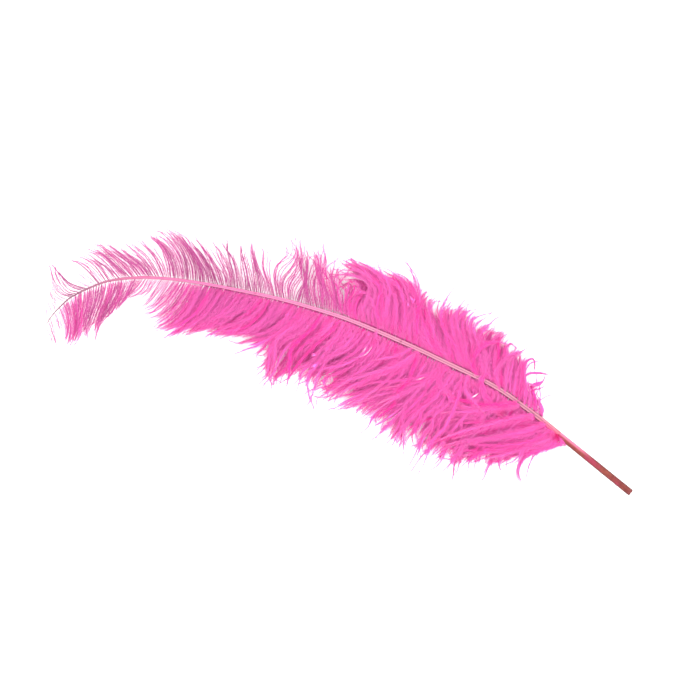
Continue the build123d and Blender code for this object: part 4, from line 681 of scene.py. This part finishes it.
def grow(fib, side, roots, path, length, band0, band1, rng, matted, streak, under, detail=1.0):
    """Barb tubes and their barbules into fib. band0, band1: the strip of the bake map each barb gets."""
    b = len(roots)
    dense = np.interp(roots, *DENSE[side])
    dye = np.interp(roots, *DYE[side]) + rng.normal(0, 0.07, b)
    # strands of the pale gap table get dye -1, which the material paints near white as painted light in the gaps
    dye = np.where(streak, -1.0, dye)
    tone = rng.random(b)
    t, sd, up = frames(path)
    tt = np.linspace(0, 1, POINTS)[None, :]
    # the barb itself: deeper than it is wide at the root, a hair at the tip
    thin = 1 - smooth((dense[:, None] - 0.5) / 0.35)
    spindle = 0.46 * np.sin(np.pi * np.clip(tt, 0.02, 0.98)) ** 0.8
    rad = (0.050 + 0.105 * thin + (0.13 + 0.01 * thin) * (1 - tt) ** 0.7) * np.clip(length / 25.0, 0.6, 1.0)[:, None]
    rad = np.where(streak[:, None], spindle, rad)
    past = (~inside_mass(path[..., :2])) & (roots[:, None] < 262) & (tt > 0.3)
    rad = np.where(past, np.maximum(rad, 0.40 - 0.22 * smooth((tt - 0.72) / 0.28)), rad)
    ring = (sd[:, :, None, :] * np.cos(ANG)[None, None, :, None] * 0.85
            + up[:, :, None, :] * np.sin(ANG)[None, None, :, None] * 1.15) * rad[..., None, None]
    verts = path[:, :, None, :] + ring
    mid = (band0 + band1) / 2
    half = (band1 - band0) / 2
    uv = np.empty(verts.shape[:-1] + (2,))
    uv[..., 0] = 0.01 + 0.98 * tt[..., None]
    uv[..., 1] = mid[:, None, None] + half[:, None, None] * np.array([0.0, -0.16, 0.16])[None, None, :]
    fib.add(verts, tube_tris(b, POINTS), uv, along=tt[..., None], tone=tone[:, None, None],
            dye=(dye[:, None] + np.where(streak[:, None], 0.0, pooled(path[..., :2])))[..., None], fray=0.0, core=1.0)
    # matted down between the barbs where the plume is thick: broad flat felt just below each barb
    felt = np.where((dense > 0.72) & matted & (length > 12))[0]
    if len(felt):
        tf = np.linspace(0, 0.94, POINTS)[None, :]
        mid_line = sample(under[felt], np.broadcast_to(tf, (len(felt), POINTS)))
        mid_line[..., 2] = np.maximum(mid_line[..., 2] - 0.5 * rng.random((len(felt), 1)) * np.minimum(tf * 6, 1), FLOOR + 0.12)
        _, fs, fu = frames(mid_line)
        wide = (0.60 + 0.75 * smooth(tf / 0.3)) * (1 - smooth((tf - 0.58) / 0.36)) * smooth((dense[felt, None] - 0.62) / 0.25)
        wide = np.maximum(wide * (0.7 + 0.6 * rng.random((len(felt), 1))), 0.02)
        ring2 = (fs[:, :, None, :] * np.cos(ANG)[None, None, :, None] * wide[..., None, None]
                 + fu[:, :, None, :] * np.sin(ANG)[None, None, :, None] * 0.10)
        uvf = np.empty((len(felt), POINTS, 3, 2))
        uvf[..., 0] = 0.01 + 0.98 * tf[..., None]
        uvf[..., 1] = mid[felt, None, None] + half[felt, None, None] * np.array([0.0, -0.9, 0.9])[None, None, :]
        fib.add(mid_line[:, :, None, :] + ring2, tube_tris(len(felt), POINTS), uvf, along=tf[..., None], tone=tone[felt, None, None],
                dye=(dye[felt, None] + pooled(mid_line[..., :2]))[..., None], fray=0.3, core=0.0)
    # barbules along both sides: about a third are long and bent, the rest short and straight
    per = (BARBULES * (0.10 + 0.90 * dense)) * detail
    count = np.maximum((length * per * 2).astype(int), 4)
    count = np.where(streak, 2, count)
    who = np.repeat(np.arange(b), count)
    m = len(who)
    first = np.cumsum(count) - count
    order = np.arange(m) - first[who]
    at = (order + rng.random(m)) / count[who]
    at = 0.012 + 0.985 * at
    flip = np.where(rng.random(m) < 0.5, 1.0, -1.0)
    at2 = at[:, None]
    base = sample(path[who], at2)[:, 0]
    tb = sample(t[who], at2)[:, 0]
    sb = sample(sd[who], at2)[:, 0]
    ub = sample(up[who], at2)[:, 0]
    d = dense[who]
    env = (0.55 + 0.45 * smooth(at / 0.12)) * (1 - 0.80 * smooth((at - 0.62) / 0.38))
    size = (1.7 + 2.9 * d) * env * (0.45 + 0.95 * rng.random(m)) * np.clip(length[who] / 35.0, 0.42, 1.1)
    loose = (~inside_mass(base[:, :2])) & (roots[who] < 228)
    size = np.where(loose, size * 0.40, size)
    alpha = np.radians(14 + 22 * rng.random(m) + 14 * d)
    beta = rng.normal(0.05, 0.60, m)
    out = (tb * np.cos(alpha)[:, None]
           + (sb * (flip * np.cos(beta))[:, None] + ub * np.sin(beta)[:, None]) * np.sin(alpha)[:, None])
    sweep = 0.25 + 0.45 * rng.random(m)
    p1 = base + out * (size * 0.52)[:, None]
    p2 = base + out * (size * (1 - 0.35 * sweep))[:, None] + tb * (size * 0.42 * sweep)[:, None]
    p2[:, 2] -= 0.10 * size * rng.random(m)
    low = FLOOR + 0.12
    p1[:, 2] = np.maximum(p1[:, 2], low + 0.1)
    p2[:, 2] = np.maximum(p2[:, 2], low)
    r0 = (0.044 + 0.052 * d) * (0.75 + 0.5 * rng.random(m))
    ax = p1 - base
    ax /= np.linalg.norm(ax, axis=1, keepdims=True) + 1e-9
    s1 = np.cross(ax, np.array([0.0, 0.0, 1.0]))
    s1 /= np.linalg.norm(s1, axis=1, keepdims=True) + 1e-9
    u1 = np.cross(s1, ax)
    ringv = s1[:, None, :] * np.cos(ANG)[None, :, None] + u1[:, None, :] * np.sin(ANG)[None, :, None]
    r0 = np.where(loose, r0 * 0.8, r0)
    bent = rng.random(m) < 0.30
    step = size * 0.6 / length[who]
    jog = np.array([-0.004, 0.0, 0.004])
    u = 0.01 + 0.98 * at
    reach = flip * (0.45 + 0.5 * rng.random(m))
    for pick, rings in ((bent, 2), (~bent, 1)):
        q = np.where(pick)[0]
        nv = 3 * rings + 1
        verts = np.empty((len(q), nv, 3))
        uv = np.empty((len(q), nv, 2))
        verts[:, 0:3] = base[q, None] + ringv[q] * r0[q, None, None]
        uv[:, 0:3, 0] = u[q, None] + jog
        uv[:, 0:3, 1] = (mid[who] + half[who] * flip * 0.22)[q, None]
        if rings == 2:
            verts[:, 3:6] = p1[q, None] + ringv[q] * (r0 * 0.72)[q, None, None]
            uv[:, 3:6, 0] = (u + 0.5 * step)[q, None] + jog
            uv[:, 3:6, 1] = (mid[who] + half[who] * (flip * 0.11 + reach * 0.5))[q, None]
            fr = np.array([0.0, 0.0, 0.0, 0.5, 0.5, 0.5, 1.0])
            verts[:, -1] = p2[q]
        else:
            fr = np.array([0.0, 0.0, 0.0, 1.0])
            verts[:, -1] = (base * 0.25 + p2 * 0.75)[q]
        uv[:, -1, 0] = (u + step)[q]
        uv[:, -1, 1] = (mid[who] + half[who] * reach)[q]
        verts[..., 2] = np.maximum(verts[..., 2], FLOOR + 0.03)
        w = who[q]
        fib.add(verts, spike_tris(len(q)) if rings == 2 else cone_tris(len(q)), np.clip(uv, 0.0, 1.0),
                along=at[q][:, None], tone=tone[w][:, None],
                dye=(dye[w] + np.where(streak[w], 0.0, pooled(base[q, :2])))[:, None],
                fray=np.broadcast_to(fr[None, :], (len(q), nv)), core=0.0)


# ---------------------------------------------------------------------------------------------
# materials
def srgb(r, g, b):
    def lin(c):
        c /= 255.0
        return c / 12.92 if c <= 0.04045 else ((c + 0.055) / 1.055) ** 2.4
    return (lin(r), lin(g), lin(b), 1.0)


class Mat:
    def __init__(self, name):
        self.mat = bpy.data.materials.new(name)
        self.mat.use_nodes = True
        self.nt = self.mat.node_tree
        self.p = self.nt.nodes["Principled BSDF"]

    def node(self, kind, **kw):
        n = self.nt.nodes.new(kind)
        for k, v in kw.items():
            setattr(n, k, v)
        return n

    def link(self, a, b):
        self.nt.links.new(a, b)

    def attr(self, name):
        return self.node("ShaderNodeAttribute", attribute_name=name).outputs["Fac"]

    def ramp(self, fac, stops, mode="EASE"):
        n = self.node("ShaderNodeValToRGB")
        n.color_ramp.interpolation = mode
        e = n.color_ramp.elements
        while len(e) > 1:
            e.remove(e[-1])
        e[0].position, e[0].color = stops[0]
        for pos, col in stops[1:]:
            x = e.new(pos)
            x.color = col
        self.link(fac, n.inputs["Fac"])
        return n.outputs["Color"]

    def mix(self, fac, a, b, blend="MIX"):
        n = self.node("ShaderNodeMix", data_type="RGBA", blend_type=blend)
        for val, sock in ((fac, n.inputs[0]), (a, n.inputs[6]), (b, n.inputs[7])):
            if hasattr(val, "links"):
                self.link(val, sock)
            else:
                sock.default_value = val
        return n.outputs[2]

    def math(self, op, a, b=0.0, c=0.0, clamp=False):
        n = self.node("ShaderNodeMath", operation=op, use_clamp=clamp)
        for val, sock in ((a, n.inputs[0]), (b, n.inputs[1]), (c, n.inputs[2])):
            if hasattr(val, "links"):
                self.link(val, sock)
            else:
                sock.default_value = val
        return n.outputs[0]

    def noise(self, scale, detail=3.0, rough=0.5, stretch=None):
        tc = self.node("ShaderNodeTexCoord")
        n = self.node("ShaderNodeTexNoise")
        n.inputs["Scale"].default_value = scale
        n.inputs["Detail"].default_value = detail
        n.inputs["Roughness"].default_value = rough
        src = tc.outputs["Object"]
        if stretch:
            mp = self.node("ShaderNodeMapping")
            mp.inputs["Scale"].default_value = stretch
            self.link(src, mp.inputs["Vector"])
            src = mp.outputs["Vector"]
        self.link(src, n.inputs["Vector"])
        return n.outputs["Fac"]


def g(v):
    return (v, v, v, 1.0)


def barb_material():
    m = Mat("dyed_down")
    along, tone, dye, fray = (m.attr(k) for k in ("along", "tone", "dye", "fray"))
    pale = m.ramp(along, [(0.0, srgb(*PALE[0])), (0.25, srgb(*PALE[1])), (0.7, srgb(*PALE[2])), (1.0, srgb(*PALE[3]))])
    hot = m.ramp(along, [(0.0, srgb(*HOT[0])), (0.15, srgb(*HOT[1])), (0.7, srgb(*HOT[2])), (1.0, srgb(*HOT[3]))])
    patch = m.noise(26.0, 2.0)
    depth = m.math("ADD", dye, m.math("MULTIPLY_ADD", patch, 0.5, -0.25), clamp=True)
    col = m.mix(depth, pale, hot)
    # strands take up the dye unevenly: some stay dusty, some go deep
    dusty = m.ramp(tone, [(0.0, g(1.0)), (0.16, g(0.45)), (0.34, g(0.0))])
    col = m.mix(m.math("MULTIPLY", dusty, m.math("MULTIPLY_ADD", depth, -0.34, 0.46)), col, srgb(*DUSTY))
    deep = m.ramp(tone, [(0.62, g(0.0)), (0.85, g(0.35)), (1.0, g(0.8))])
    col = m.mix(m.math("MULTIPLY", deep, depth), col, srgb(*DEEP))
    col = m.mix(m.math("MULTIPLY", fray, 0.22), col, srgb(*FRAY))
    over = m.math("MULTIPLY_ADD", dye, 1.7, -2.04, clamp=True)
    col = m.mix(over, col, srgb(216, 8, 104))
    # the barb's own stem is duller and darker than its barbules, most of all where the dye is thin
    core = m.attr("core")
    stem = m.math("MULTIPLY", core, m.math("MULTIPLY_ADD", depth, -0.42, 0.72))
    col = m.mix(stem, col, srgb(*STEM))
    # dye below zero: painted light, near white on the strands that stand in for bright gaps in the vane
    col = m.mix(m.math("MULTIPLY", dye, -1.0, clamp=True), col, srgb(255, 232, 240))
    m.link(col, m.p.inputs["Base Color"])
    m.p.inputs["Roughness"].default_value = 0.66
    m.p.inputs["Specular IOR Level"].default_value = 0.14
    m.p.inputs["Sheen Weight"].default_value = 0.12
    m.p.inputs["Sheen Roughness"].default_value = 0.45
    m.p.inputs["Sheen Tint"].default_value = srgb(255, 140, 210)
    return m.mat


PALE = [(140, 62, 103), (162, 73, 127), (172, 77, 134), (178, 85, 142)]
HOT = [(244, 108, 188), (253, 110, 202), (253, 110, 200), (251, 124, 190)]
DUSTY = (214, 150, 190)
DEEP = (253, 40, 170)
FRAY = (250, 156, 206)
STEM = (120, 44, 84)


def shaft_material():
    m = Mat("shaft_keratin")
    run, across = m.attr("run"), m.attr("across")       # run 0..1 from the quill to the tip; across -1 outer .. 1 inner edge
    base = m.ramp(run, [(0.138, srgb(164, 66, 84)), (0.16, srgb(164, 84, 104)), (0.21, srgb(172, 100, 124)), (0.40, srgb(176, 96, 128)),
                        (0.55, srgb(190, 94, 140)), (0.72, srgb(188, 76, 132)), (0.82, srgb(176, 68, 118)),
                        (0.90, srgb(116, 50, 82)), (0.95, srgb(88, 40, 66)), (1.0, srgb(84, 40, 64))], "LINEAR")
    fibre = m.noise(900.0, 4.0, 0.6, stretch=(1.0, 1.0, 1.0))
    base = m.mix(m.math("MULTIPLY_ADD", fibre, 0.4, -0.1), base, srgb(214, 158, 176))
    mag = m.math("ABSOLUTE", across)
    # painted shade: the rounded flanks of the shaft are darkened, the inner flank more than the outer
    edge = m.ramp(mag, [(0.52, g(0.0)), (0.78, g(0.85)), (1.0, g(1.0))])
    flank_shade_col = m.ramp(run, [(0.15, srgb(104, 60, 66)), (0.3, srgb(104, 70, 84)), (0.6, srgb(140, 70, 104)), (0.85, srgb(84, 44, 68))], "LINEAR")
    shade = m.math("MULTIPLY_ADD", across, 0.20, 0.70)
    col = m.mix(m.math("MULTIPLY", edge, shade), base, flank_shade_col)
    # painted shade: a dark line along the groove down the middle of the shaft, strongest near the quill and fading
    # towards the tip
    groove_shade = m.ramp(mag, [(0.0, g(1.0)), (0.07, g(0.9)), (0.17, g(0.0))])
    strength = m.ramp(run, [(0.14, g(0.0)), (0.155, g(1.0)), (0.55, g(0.75)), (0.8, g(0.35))], "LINEAR")
    col = m.mix(m.math("MULTIPLY", groove_shade, m.math("MULTIPLY", strength, 0.9)), col, srgb(98, 60, 76))
    # the dye pooled where the barbs begin
    pool = m.ramp(run, [(0.135, g(0.0)), (0.150, g(1.0)), (0.165, g(0.75)), (0.185, g(0.0))])
    inner = m.math("MULTIPLY_ADD", across, 0.75, 0.35, clamp=True)
    col = m.mix(m.math("MULTIPLY", pool, inner), col, srgb(206, 22, 96))
    m.link(col, m.p.inputs["Base Color"])
    m.p.inputs["Roughness"].default_value = 0.42
    bump = m.node("ShaderNodeBump")
    bump.inputs["Strength"].default_value = 0.25
    bump.inputs["Distance"].default_value = 0.0002
    m.link(fibre, bump.inputs["Height"])
    m.link(bump.outputs["Normal"], m.p.inputs["Normal"])
    return m.mat


def quill_material():
    m = Mat("quill_keratin")
    run, across, inside = m.attr("run"), m.attr("across"), m.attr("inside")
    base = m.ramp(run, [(0.0, srgb(106, 48, 52)), (0.05, srgb(92, 32, 30)), (0.35, srgb(95, 33, 29)), (0.6, srgb(101, 35, 32)),
                        (0.85, srgb(113, 38, 41)), (1.0, srgb(150, 62, 80))], "LINEAR")
    streak = m.noise(260.0, 5.0, 0.62, stretch=(1.0, 1.0, 1.0))
    blot = m.noise(85.0, 3.0)
    base = m.mix(m.ramp(streak, [(0.35, g(0.0)), (0.7, g(0.75))]), base, srgb(126, 60, 48))
    base = m.mix(m.ramp(blot, [(0.52, g(0.0)), (0.68, g(0.75))]), base, srgb(136, 38, 64))
    mag = m.math("ABSOLUTE", across)
    # painted shade: the rounded flanks of the quill are darkened towards deep brown
    edge = m.ramp(mag, [(0.45, g(0.0)), (0.8, g(0.55)), (1.0, g(0.9))])
    col = m.mix(edge, base, srgb(78, 24, 24))
    top = m.ramp(across, [(0.0, g(1.0)), (0.22, g(0.8)), (0.4, g(0.0))])
    # the outer flank catches pink dye towards the barbs
    pinkzone = m.ramp(run, [(0.5, g(0.0)), (0.75, g(0.85)), (1.0, g(1.0))])
    flank = m.math("MULTIPLY_ADD", across, -1.6, 0.1, clamp=True)
    col = m.mix(m.math("MULTIPLY", pinkzone, flank), col, srgb(196, 104, 132))
    col = m.mix(m.math("MULTIPLY", inside, 0.8), col, srgb(160, 92, 84))
    m.link(col, m.p.inputs["Base Color"])
    m.p.inputs["Roughness"].default_value = 0.42
    m.p.inputs["Specular IOR Level"].default_value = 0.22
    bump = m.node("ShaderNodeBump")
    bump.inputs["Strength"].default_value = 0.3
    bump.inputs["Distance"].default_value = 0.0003
    m.link(streak, bump.inputs["Height"])
    m.link(bump.outputs["Normal"], m.p.inputs["Normal"])
    return m.mat


def cap_material():
    m = Mat("dry_pulp")
    n = m.noise(700.0, 3.0)
    m.link(m.ramp(n, [(0.3, srgb(226, 198, 168)), (0.7, srgb(240, 220, 196))]), m.p.inputs["Base Color"])
    m.p.inputs["Roughness"].default_value = 0.6
    return m.mat


# ---------------------------------------------------------------------------------------------
# shaft and quill
AROUND = 36


def section(s):
    """Outline of the shaft at distance s as (AROUND, 2) local side/up offsets, and the side value -1..1."""
    _, _, _, w = shaft_at(s)
    h = w * height_share(s)
    th = np.linspace(0, 2 * np.pi, AROUND, endpoint=False)
    k = smooth((s - 62.0) / 24.0)
    power = 2.0 + 1.1 * k * (1 - 0.35 * smooth((s - 330) / 110))
    c, sn = np.cos(th), np.sin(th)
    slim = 1 - 0.10 * k
    x = np.sign(c) * np.abs(c) ** (2 / power) * w / 2 * slim
    y = np.sign(sn) * np.abs(sn) ** (2 / power) * h / 2
    deep = k * 0.12 * h * (1 - 0.5 * smooth((s - 330) / 110))
    y = y - np.where(y > 0, deep * np.exp(-(x / (0.11 * w)) ** 2), 0)
    return x, y, c


def shaft_piece(name, s0, s1, mat, shrink=1.0):
    n = int((s1 - s0) / 2.2) + 2
    ss = np.linspace(s0, s1, n)
    verts, across, run, uv = [], [], [], []
    x, y, z, w = shaft_at(ss)
    hx, hy = heading_at(ss)
    end = s1 > 445
    for i, s in enumerate(ss):
        a, b, c = section(s)
        f = shrink
        if end:
            f *= 1 - 0.75 * smooth((s - (s1 - 7)) / 7)
        # local side runs towards the inner vane
        verts.append(np.stack([x[i] + hy[i] * -a * f, y[i] + hx[i] * a * f, z[i] + b * f], 1))
        across.append(c)
        run.append(np.full(AROUND, s / 450.0))
        uv.append(np.stack([np.full(AROUND, (s - s0) / (s1 - s0)), np.linspace(0, 1, AROUND)], 1))
    verts = np.array(verts)
    tris = []
    for i in range(n - 1):
        for k in range(AROUND):
            a, b = i * AROUND + k, i * AROUND + (k + 1) % AROUND
            tris += [(a, b, b + AROUND), (a, b + AROUND, a + AROUND)]
    v = verts.reshape(-1, 3)
    centre0, centre1 = len(v), len(v) + 1
    v = np.vstack([v, verts[0].mean(0), verts[-1].mean(0)])
    for k in range(AROUND):
        tris.append((centre0, (k + 1) % AROUND, k))
        tris.append((centre1, (n - 1) * AROUND + k, (n - 1) * AROUND + (k + 1) % AROUND))
    uvs = np.vstack([np.vstack(uv), [[0.0, 0.5]], [[1.0, 0.5]]])
    uvs[:, 0] = 0.01 + 0.98 * uvs[:, 0]
    obj = build_mesh(name, v, np.array(tris), uvs,
                     {"run": np.r_[np.concatenate(run), s0 / 450.0, s1 / 450.0], "across": np.r_[np.concatenate(across), 0, 0]})
    obj.data.materials.append(mat)
    return obj


def quill_piece(name, mat):
    """The bare quill: a tube with an open cut end, its wall, and a closed floor inside."""
    n = 58
    s_out = np.linspace(0.0, 66.0, n)
    rng = np.random.default_rng(11)
    th = np.linspace(0, 2 * np.pi, AROUND, endpoint=False)
    verts, run, across, inside, uv = [], [], [], [], []
    x, y, z, w = shaft_at(s_out)
    hx, hy = heading_at(np.maximum(s_out, 3.5))
    ph = rng.random((4, 2)) * 2 * np.pi
    for i, s in enumerate(s_out):
        a, b, c = section(s)
        # long shallow flats and a slight taper, as a scraped quill has
        wob = 1 + 0.012 * np.sin(2 * th + ph[0, 0] + s * 0.05) + 0.008 * np.sin(3 * th + ph[1, 0] - s * 0.09) + 0.006 * math.sin(s * 0.31 + ph[2, 0])
        wob = wob * (1 - 0.05 * (1 - smooth(s / 1.2)))
        wob = wob * (1 - 0.04 * smooth((s - 62) / 4))
        verts.append(np.stack([x[i] - hy[i] * a * wob, y[i] + hx[i] * a * wob, z[i] + b * wob], 1))
        run.append(np.full(AROUND, s / 66.0))
        across.append(c)
        inside.append(np.zeros(AROUND))
        uv.append(np.stack([np.full(AROUND, 0.02 + 0.60 * s / 66.0), np.linspace(0, 1, AROUND)], 1))
    s_in = np.r_[0.35, np.linspace(1.0, 13.8, 5), 14.2, np.linspace(20.0, 53.8, 10), 54.0]
    r_in = np.r_[1.97, np.full(5, 1.85), np.full(12, 1.63)]
    for i, s in enumerate(s_in):
        xx, yy, zz_, ww = shaft_at(s)
        gx, gy = heading_at(max(s, 3.5))
        a, b = r_in[i] * np.cos(th), r_in[i] * np.sin(th)
        verts.append(np.stack([xx - gy * a, yy + gx * a, zz_ + b], 1))
        run.append(np.full(AROUND, s / 66.0))
        across.append(np.cos(th))
        inside.append(np.ones(AROUND))
        uv.append(np.stack([np.full(AROUND, 0.68 + 0.30 * s / 66.0), np.linspace(0, 1, AROUND)], 1))
    rings = len(verts)
    v = np.array(verts)
    tris = []
    ring = lambda i, k: i * AROUND + k % AROUND
    for i in range(n - 1):
        for k in range(AROUND):
            tris += [(ring(i, k), ring(i, k + 1), ring(i + 1, k + 1)), (ring(i, k), ring(i + 1, k + 1), ring(i + 1, k))]
    for i in range(n, rings - 1):
        for k in range(AROUND):
            tris += [(ring(i, k), ring(i + 1, k + 1), ring(i, k + 1)), (ring(i, k), ring(i + 1, k), ring(i + 1, k + 1))]
    for k in range(AROUND):
        tris += [(ring(0, k), ring(n, k), ring(n, k + 1)), (ring(0, k), ring(n, k + 1), ring(0, k + 1))]
    flat = v.reshape(-1, 3)
    c0, c1 = len(flat), len(flat) + 1
    flat = np.vstack([flat, v[n - 1].mean(0), v[-1].mean(0)])
    for k in range(AROUND):
        tris.append((c0, ring(n - 1, k), ring(n - 1, k + 1)))
        tris.append((c1, ring(rings - 1, k + 1), ring(rings - 1, k)))
    uvs = np.vstack([np.vstack(uv), [[0.63, 0.5]], [[0.99, 0.5]]])
    obj = build_mesh(name, flat, np.array(tris), uvs,
                     {"run": np.r_[np.concatenate(run), 1, 0.9], "across": np.r_[np.concatenate(across), 0, 0],
                      "inside": np.r_[np.concatenate(inside), 0, 1]})
    obj.data.materials.append(mat)
    return obj


# ---------------------------------------------------------------------------------------------
# where each piece rides
def flex_zone(j):
    """Start and end of the bend at joint j, in metres."""
    x, y, z, _ = shaft_at(FLEX[j])
    hx, hy = heading_at(FLEX[j])
    p = np.array([float(x), float(y), float(z)])
    d = np.array([float(hx), float(hy), 0.0]) * BEND_HALF
    return (p - d) * MM, (p + d) * MM


def place(obj, body):
    """Ride on the body, or, where the piece reaches a joint's flex zone, stay unattached with its transform baked."""
    co = np.empty(len(obj.data.vertices) * 3, np.float32)
    obj.data.vertices.foreach_get("co", co)
    co = co.reshape(-1, 3).astype(float)
    best, which = 0.0, None
    for j in (body - 1, body):
        if 0 <= j < 3:
            s, e = flex_zone(j)
            t = ((co - s) @ (e - s)) / ((e - s) @ (e - s))
            # the share of the piece that the bend would move away from its own body
            share = float(np.mean(t > 0.02)) if j == body else float(np.mean(t < 0.98))
            if share > best:
                best, which = share, j
    if which is None or best < 0.002:
        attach(obj, BODIES[body])
    else:
        s, e = flex_zone(which)
        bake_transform(obj)


down = barb_material()
keratin = shaft_material()
horn = quill_material()

quill = quill_piece("quill", horn)
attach(quill, BODIES[0])
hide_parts("quill_tube")

# the shaft's visible lengths meet in the middle of a body, and each reaches across one joint, left unattached with its
# transform baked
cuts = [62.6, (FLEX[0] + FLEX[1]) / 2, (FLEX[1] + FLEX[2]) / 2, 449.5]
stands = [("lower",), ("middle",), ("upper", "tip")]
for k in range(3):
    piece = shaft_piece("shaft_" + ["lower", "middle", "tip"][k], cuts[k], cuts[k + 1], keratin)
    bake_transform(piece)
    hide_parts(*["shaft_cortex_" + q for q in stands[k]], *["shaft_pith_" + q for q in stands[k]])

# the barbs, lock by lock
DETAIL = 1.0
seed = 100
stats = []
for side, ends in (("outer", OUTER_ENDS), ("inner", INNER_ENDS)):
    rng = np.random.default_rng(5 if side == "outer" else 7)
    first = 79.0 if side == "outer" else 68.0
    roots = np.arange(first, 448.6, SPACING)
    roots = roots + rng.uniform(-0.4, 0.4, len(roots)) * SPACING
    path, length, felt = barb_paths(side, roots, rng)
    # strays lie over the rest at their own angles, where the down is thick
    wild = rng.uniform(first + 1, 448.0, 150)
    wild = np.sort(wild[rng.random(len(wild)) < np.interp(wild, *DENSE[side]) ** 1.5])
    path2, length2, felt2 = barb_paths(side, wild, rng, stray=1.0)
    roots3, path3, length3 = strand_set(STRANDS, side, rng)
    roots4, path4, length4 = strand_set(PALE_GAP_STRANDS, side, rng)
    matted = np.r_[np.ones(len(roots), bool), np.zeros(len(wild) + len(roots3) + len(roots4), bool)]
    streak = np.r_[np.zeros(len(roots) + len(wild) + len(roots3), bool), np.ones(len(roots4), bool)]
    roots = np.r_[roots, wild, roots3, roots4]
    path = np.concatenate([path, path2, path3, path4])
    felt = np.concatenate([felt, felt2, path3, path4])
    length = np.r_[length, length2, length3, length4]
    lock = np.searchsorted(ends, roots)
    for n in range(len(ends)):
        mine = np.where(lock == n)[0]
        if len(mine) == 0:
            continue
        body = int(np.searchsorted(FLEX, roots[mine].mean()))
        # a heavy lock is shown as two pieces, every other barb in each
        parts = [mine] if length[mine].sum() < 2750 else [mine[::2], mine[1::2]]
        for p, some in enumerate(parts):
            fib = Fibres()
            edges = np.linspace(0.004, 0.996, len(some) + 1)
            grow(fib, side, roots[some], path[some], length[some], edges[:-1], edges[1:], np.random.default_rng(seed + n + 500 * p),
                 matted[some], streak[some], felt[some], DETAIL)
            obj = fib.object(f"{side}_barbs_{n + 1:02d}" + ("", "_more")[p])
            obj.data.materials.append(down)
            place(obj, body)
            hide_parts(f"{side}_barb_lock_{n + 1:02d}")
            stats.append((obj.name, len(obj.data.polygons), round(float(length[some].sum()))))
    seed += 50

# the dried pulp inside the quill stays as the frame has it, with its own material
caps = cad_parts["quill_pulp_caps"]
caps.data.materials.clear()
caps.data.materials.append(cap_material())

# ---------------------------------------------------------------------------------------------
# floor, light, camera
ground = bpy.data.meshes.new("floor")
ground.from_pydata([(-3, -3, 0), (3, -3, 0), (3, 3, 0), (-3, 3, 0)], [], [(0, 1, 2, 3)])
floor = bpy.data.objects.new("floor", ground)
floor.location = (-0.19, 0.09, FLOOR * MM - 0.00005)
bpy.context.scene.collection.objects.link(floor)
fm = Mat("pale_floor")
fm.p.inputs["Base Color"].default_value = (0.93, 0.93, 0.93, 1)
fm.p.inputs["Roughness"].default_value = 0.9
fm.p.inputs["Specular IOR Level"].default_value = 0.1
fm.p.inputs["Emission Color"].default_value = (1, 1, 1, 1)
fm.p.inputs["Emission Strength"].default_value = 0.22
ground.materials.append(fm.mat)


def area(name, loc, size, power, target=(-0.19, 0.09, 0.0)):
    data = bpy.data.lights.new(name, "AREA")
    data.shape = "SQUARE"
    data.size = size
    data.energy = power
    o = bpy.data.objects.new(name, data)
    o.location = loc
    d = np.array(target) - np.array(loc)
    from mathutils import Vector
    o.rotation_euler = Vector(d).to_track_quat("-Z", "Y").to_euler()
    bpy.context.scene.collection.objects.link(o)


area("key", (-1.3, 1.2, 1.7), 1.4, 32)
area("fill", (1.2, 0.7, 1.7), 1.6, 21)
area("low", (0.0, -1.6, 1.6), 1.6, 21)

world = bpy.data.worlds.new("studio")
world.use_nodes = True
world.node_tree.nodes["Background"].inputs["Color"].default_value = (1, 1, 1, 1)
world.node_tree.nodes["Background"].inputs["Strength"].default_value = 1.7
bpy.context.scene.world = world
bpy.context.scene.view_settings.view_transform = "Standard"

cam = bpy.data.cameras.new("camera")
cam.lens = 36 * 5.99 / 0.476
cam.sensor_width = 36
cam.clip_end = 60
camera = bpy.data.objects.new("camera", cam)
camera.location = (-0.1914, 0.0974, 6.0)
camera.rotation_euler = (0, 0, 0)
bpy.context.scene.collection.objects.link(camera)
bpy.context.scene.camera = camera

print("TRIS", sum(s[1] for s in stats), sorted(stats, key=lambda s: -s[1])[:6])
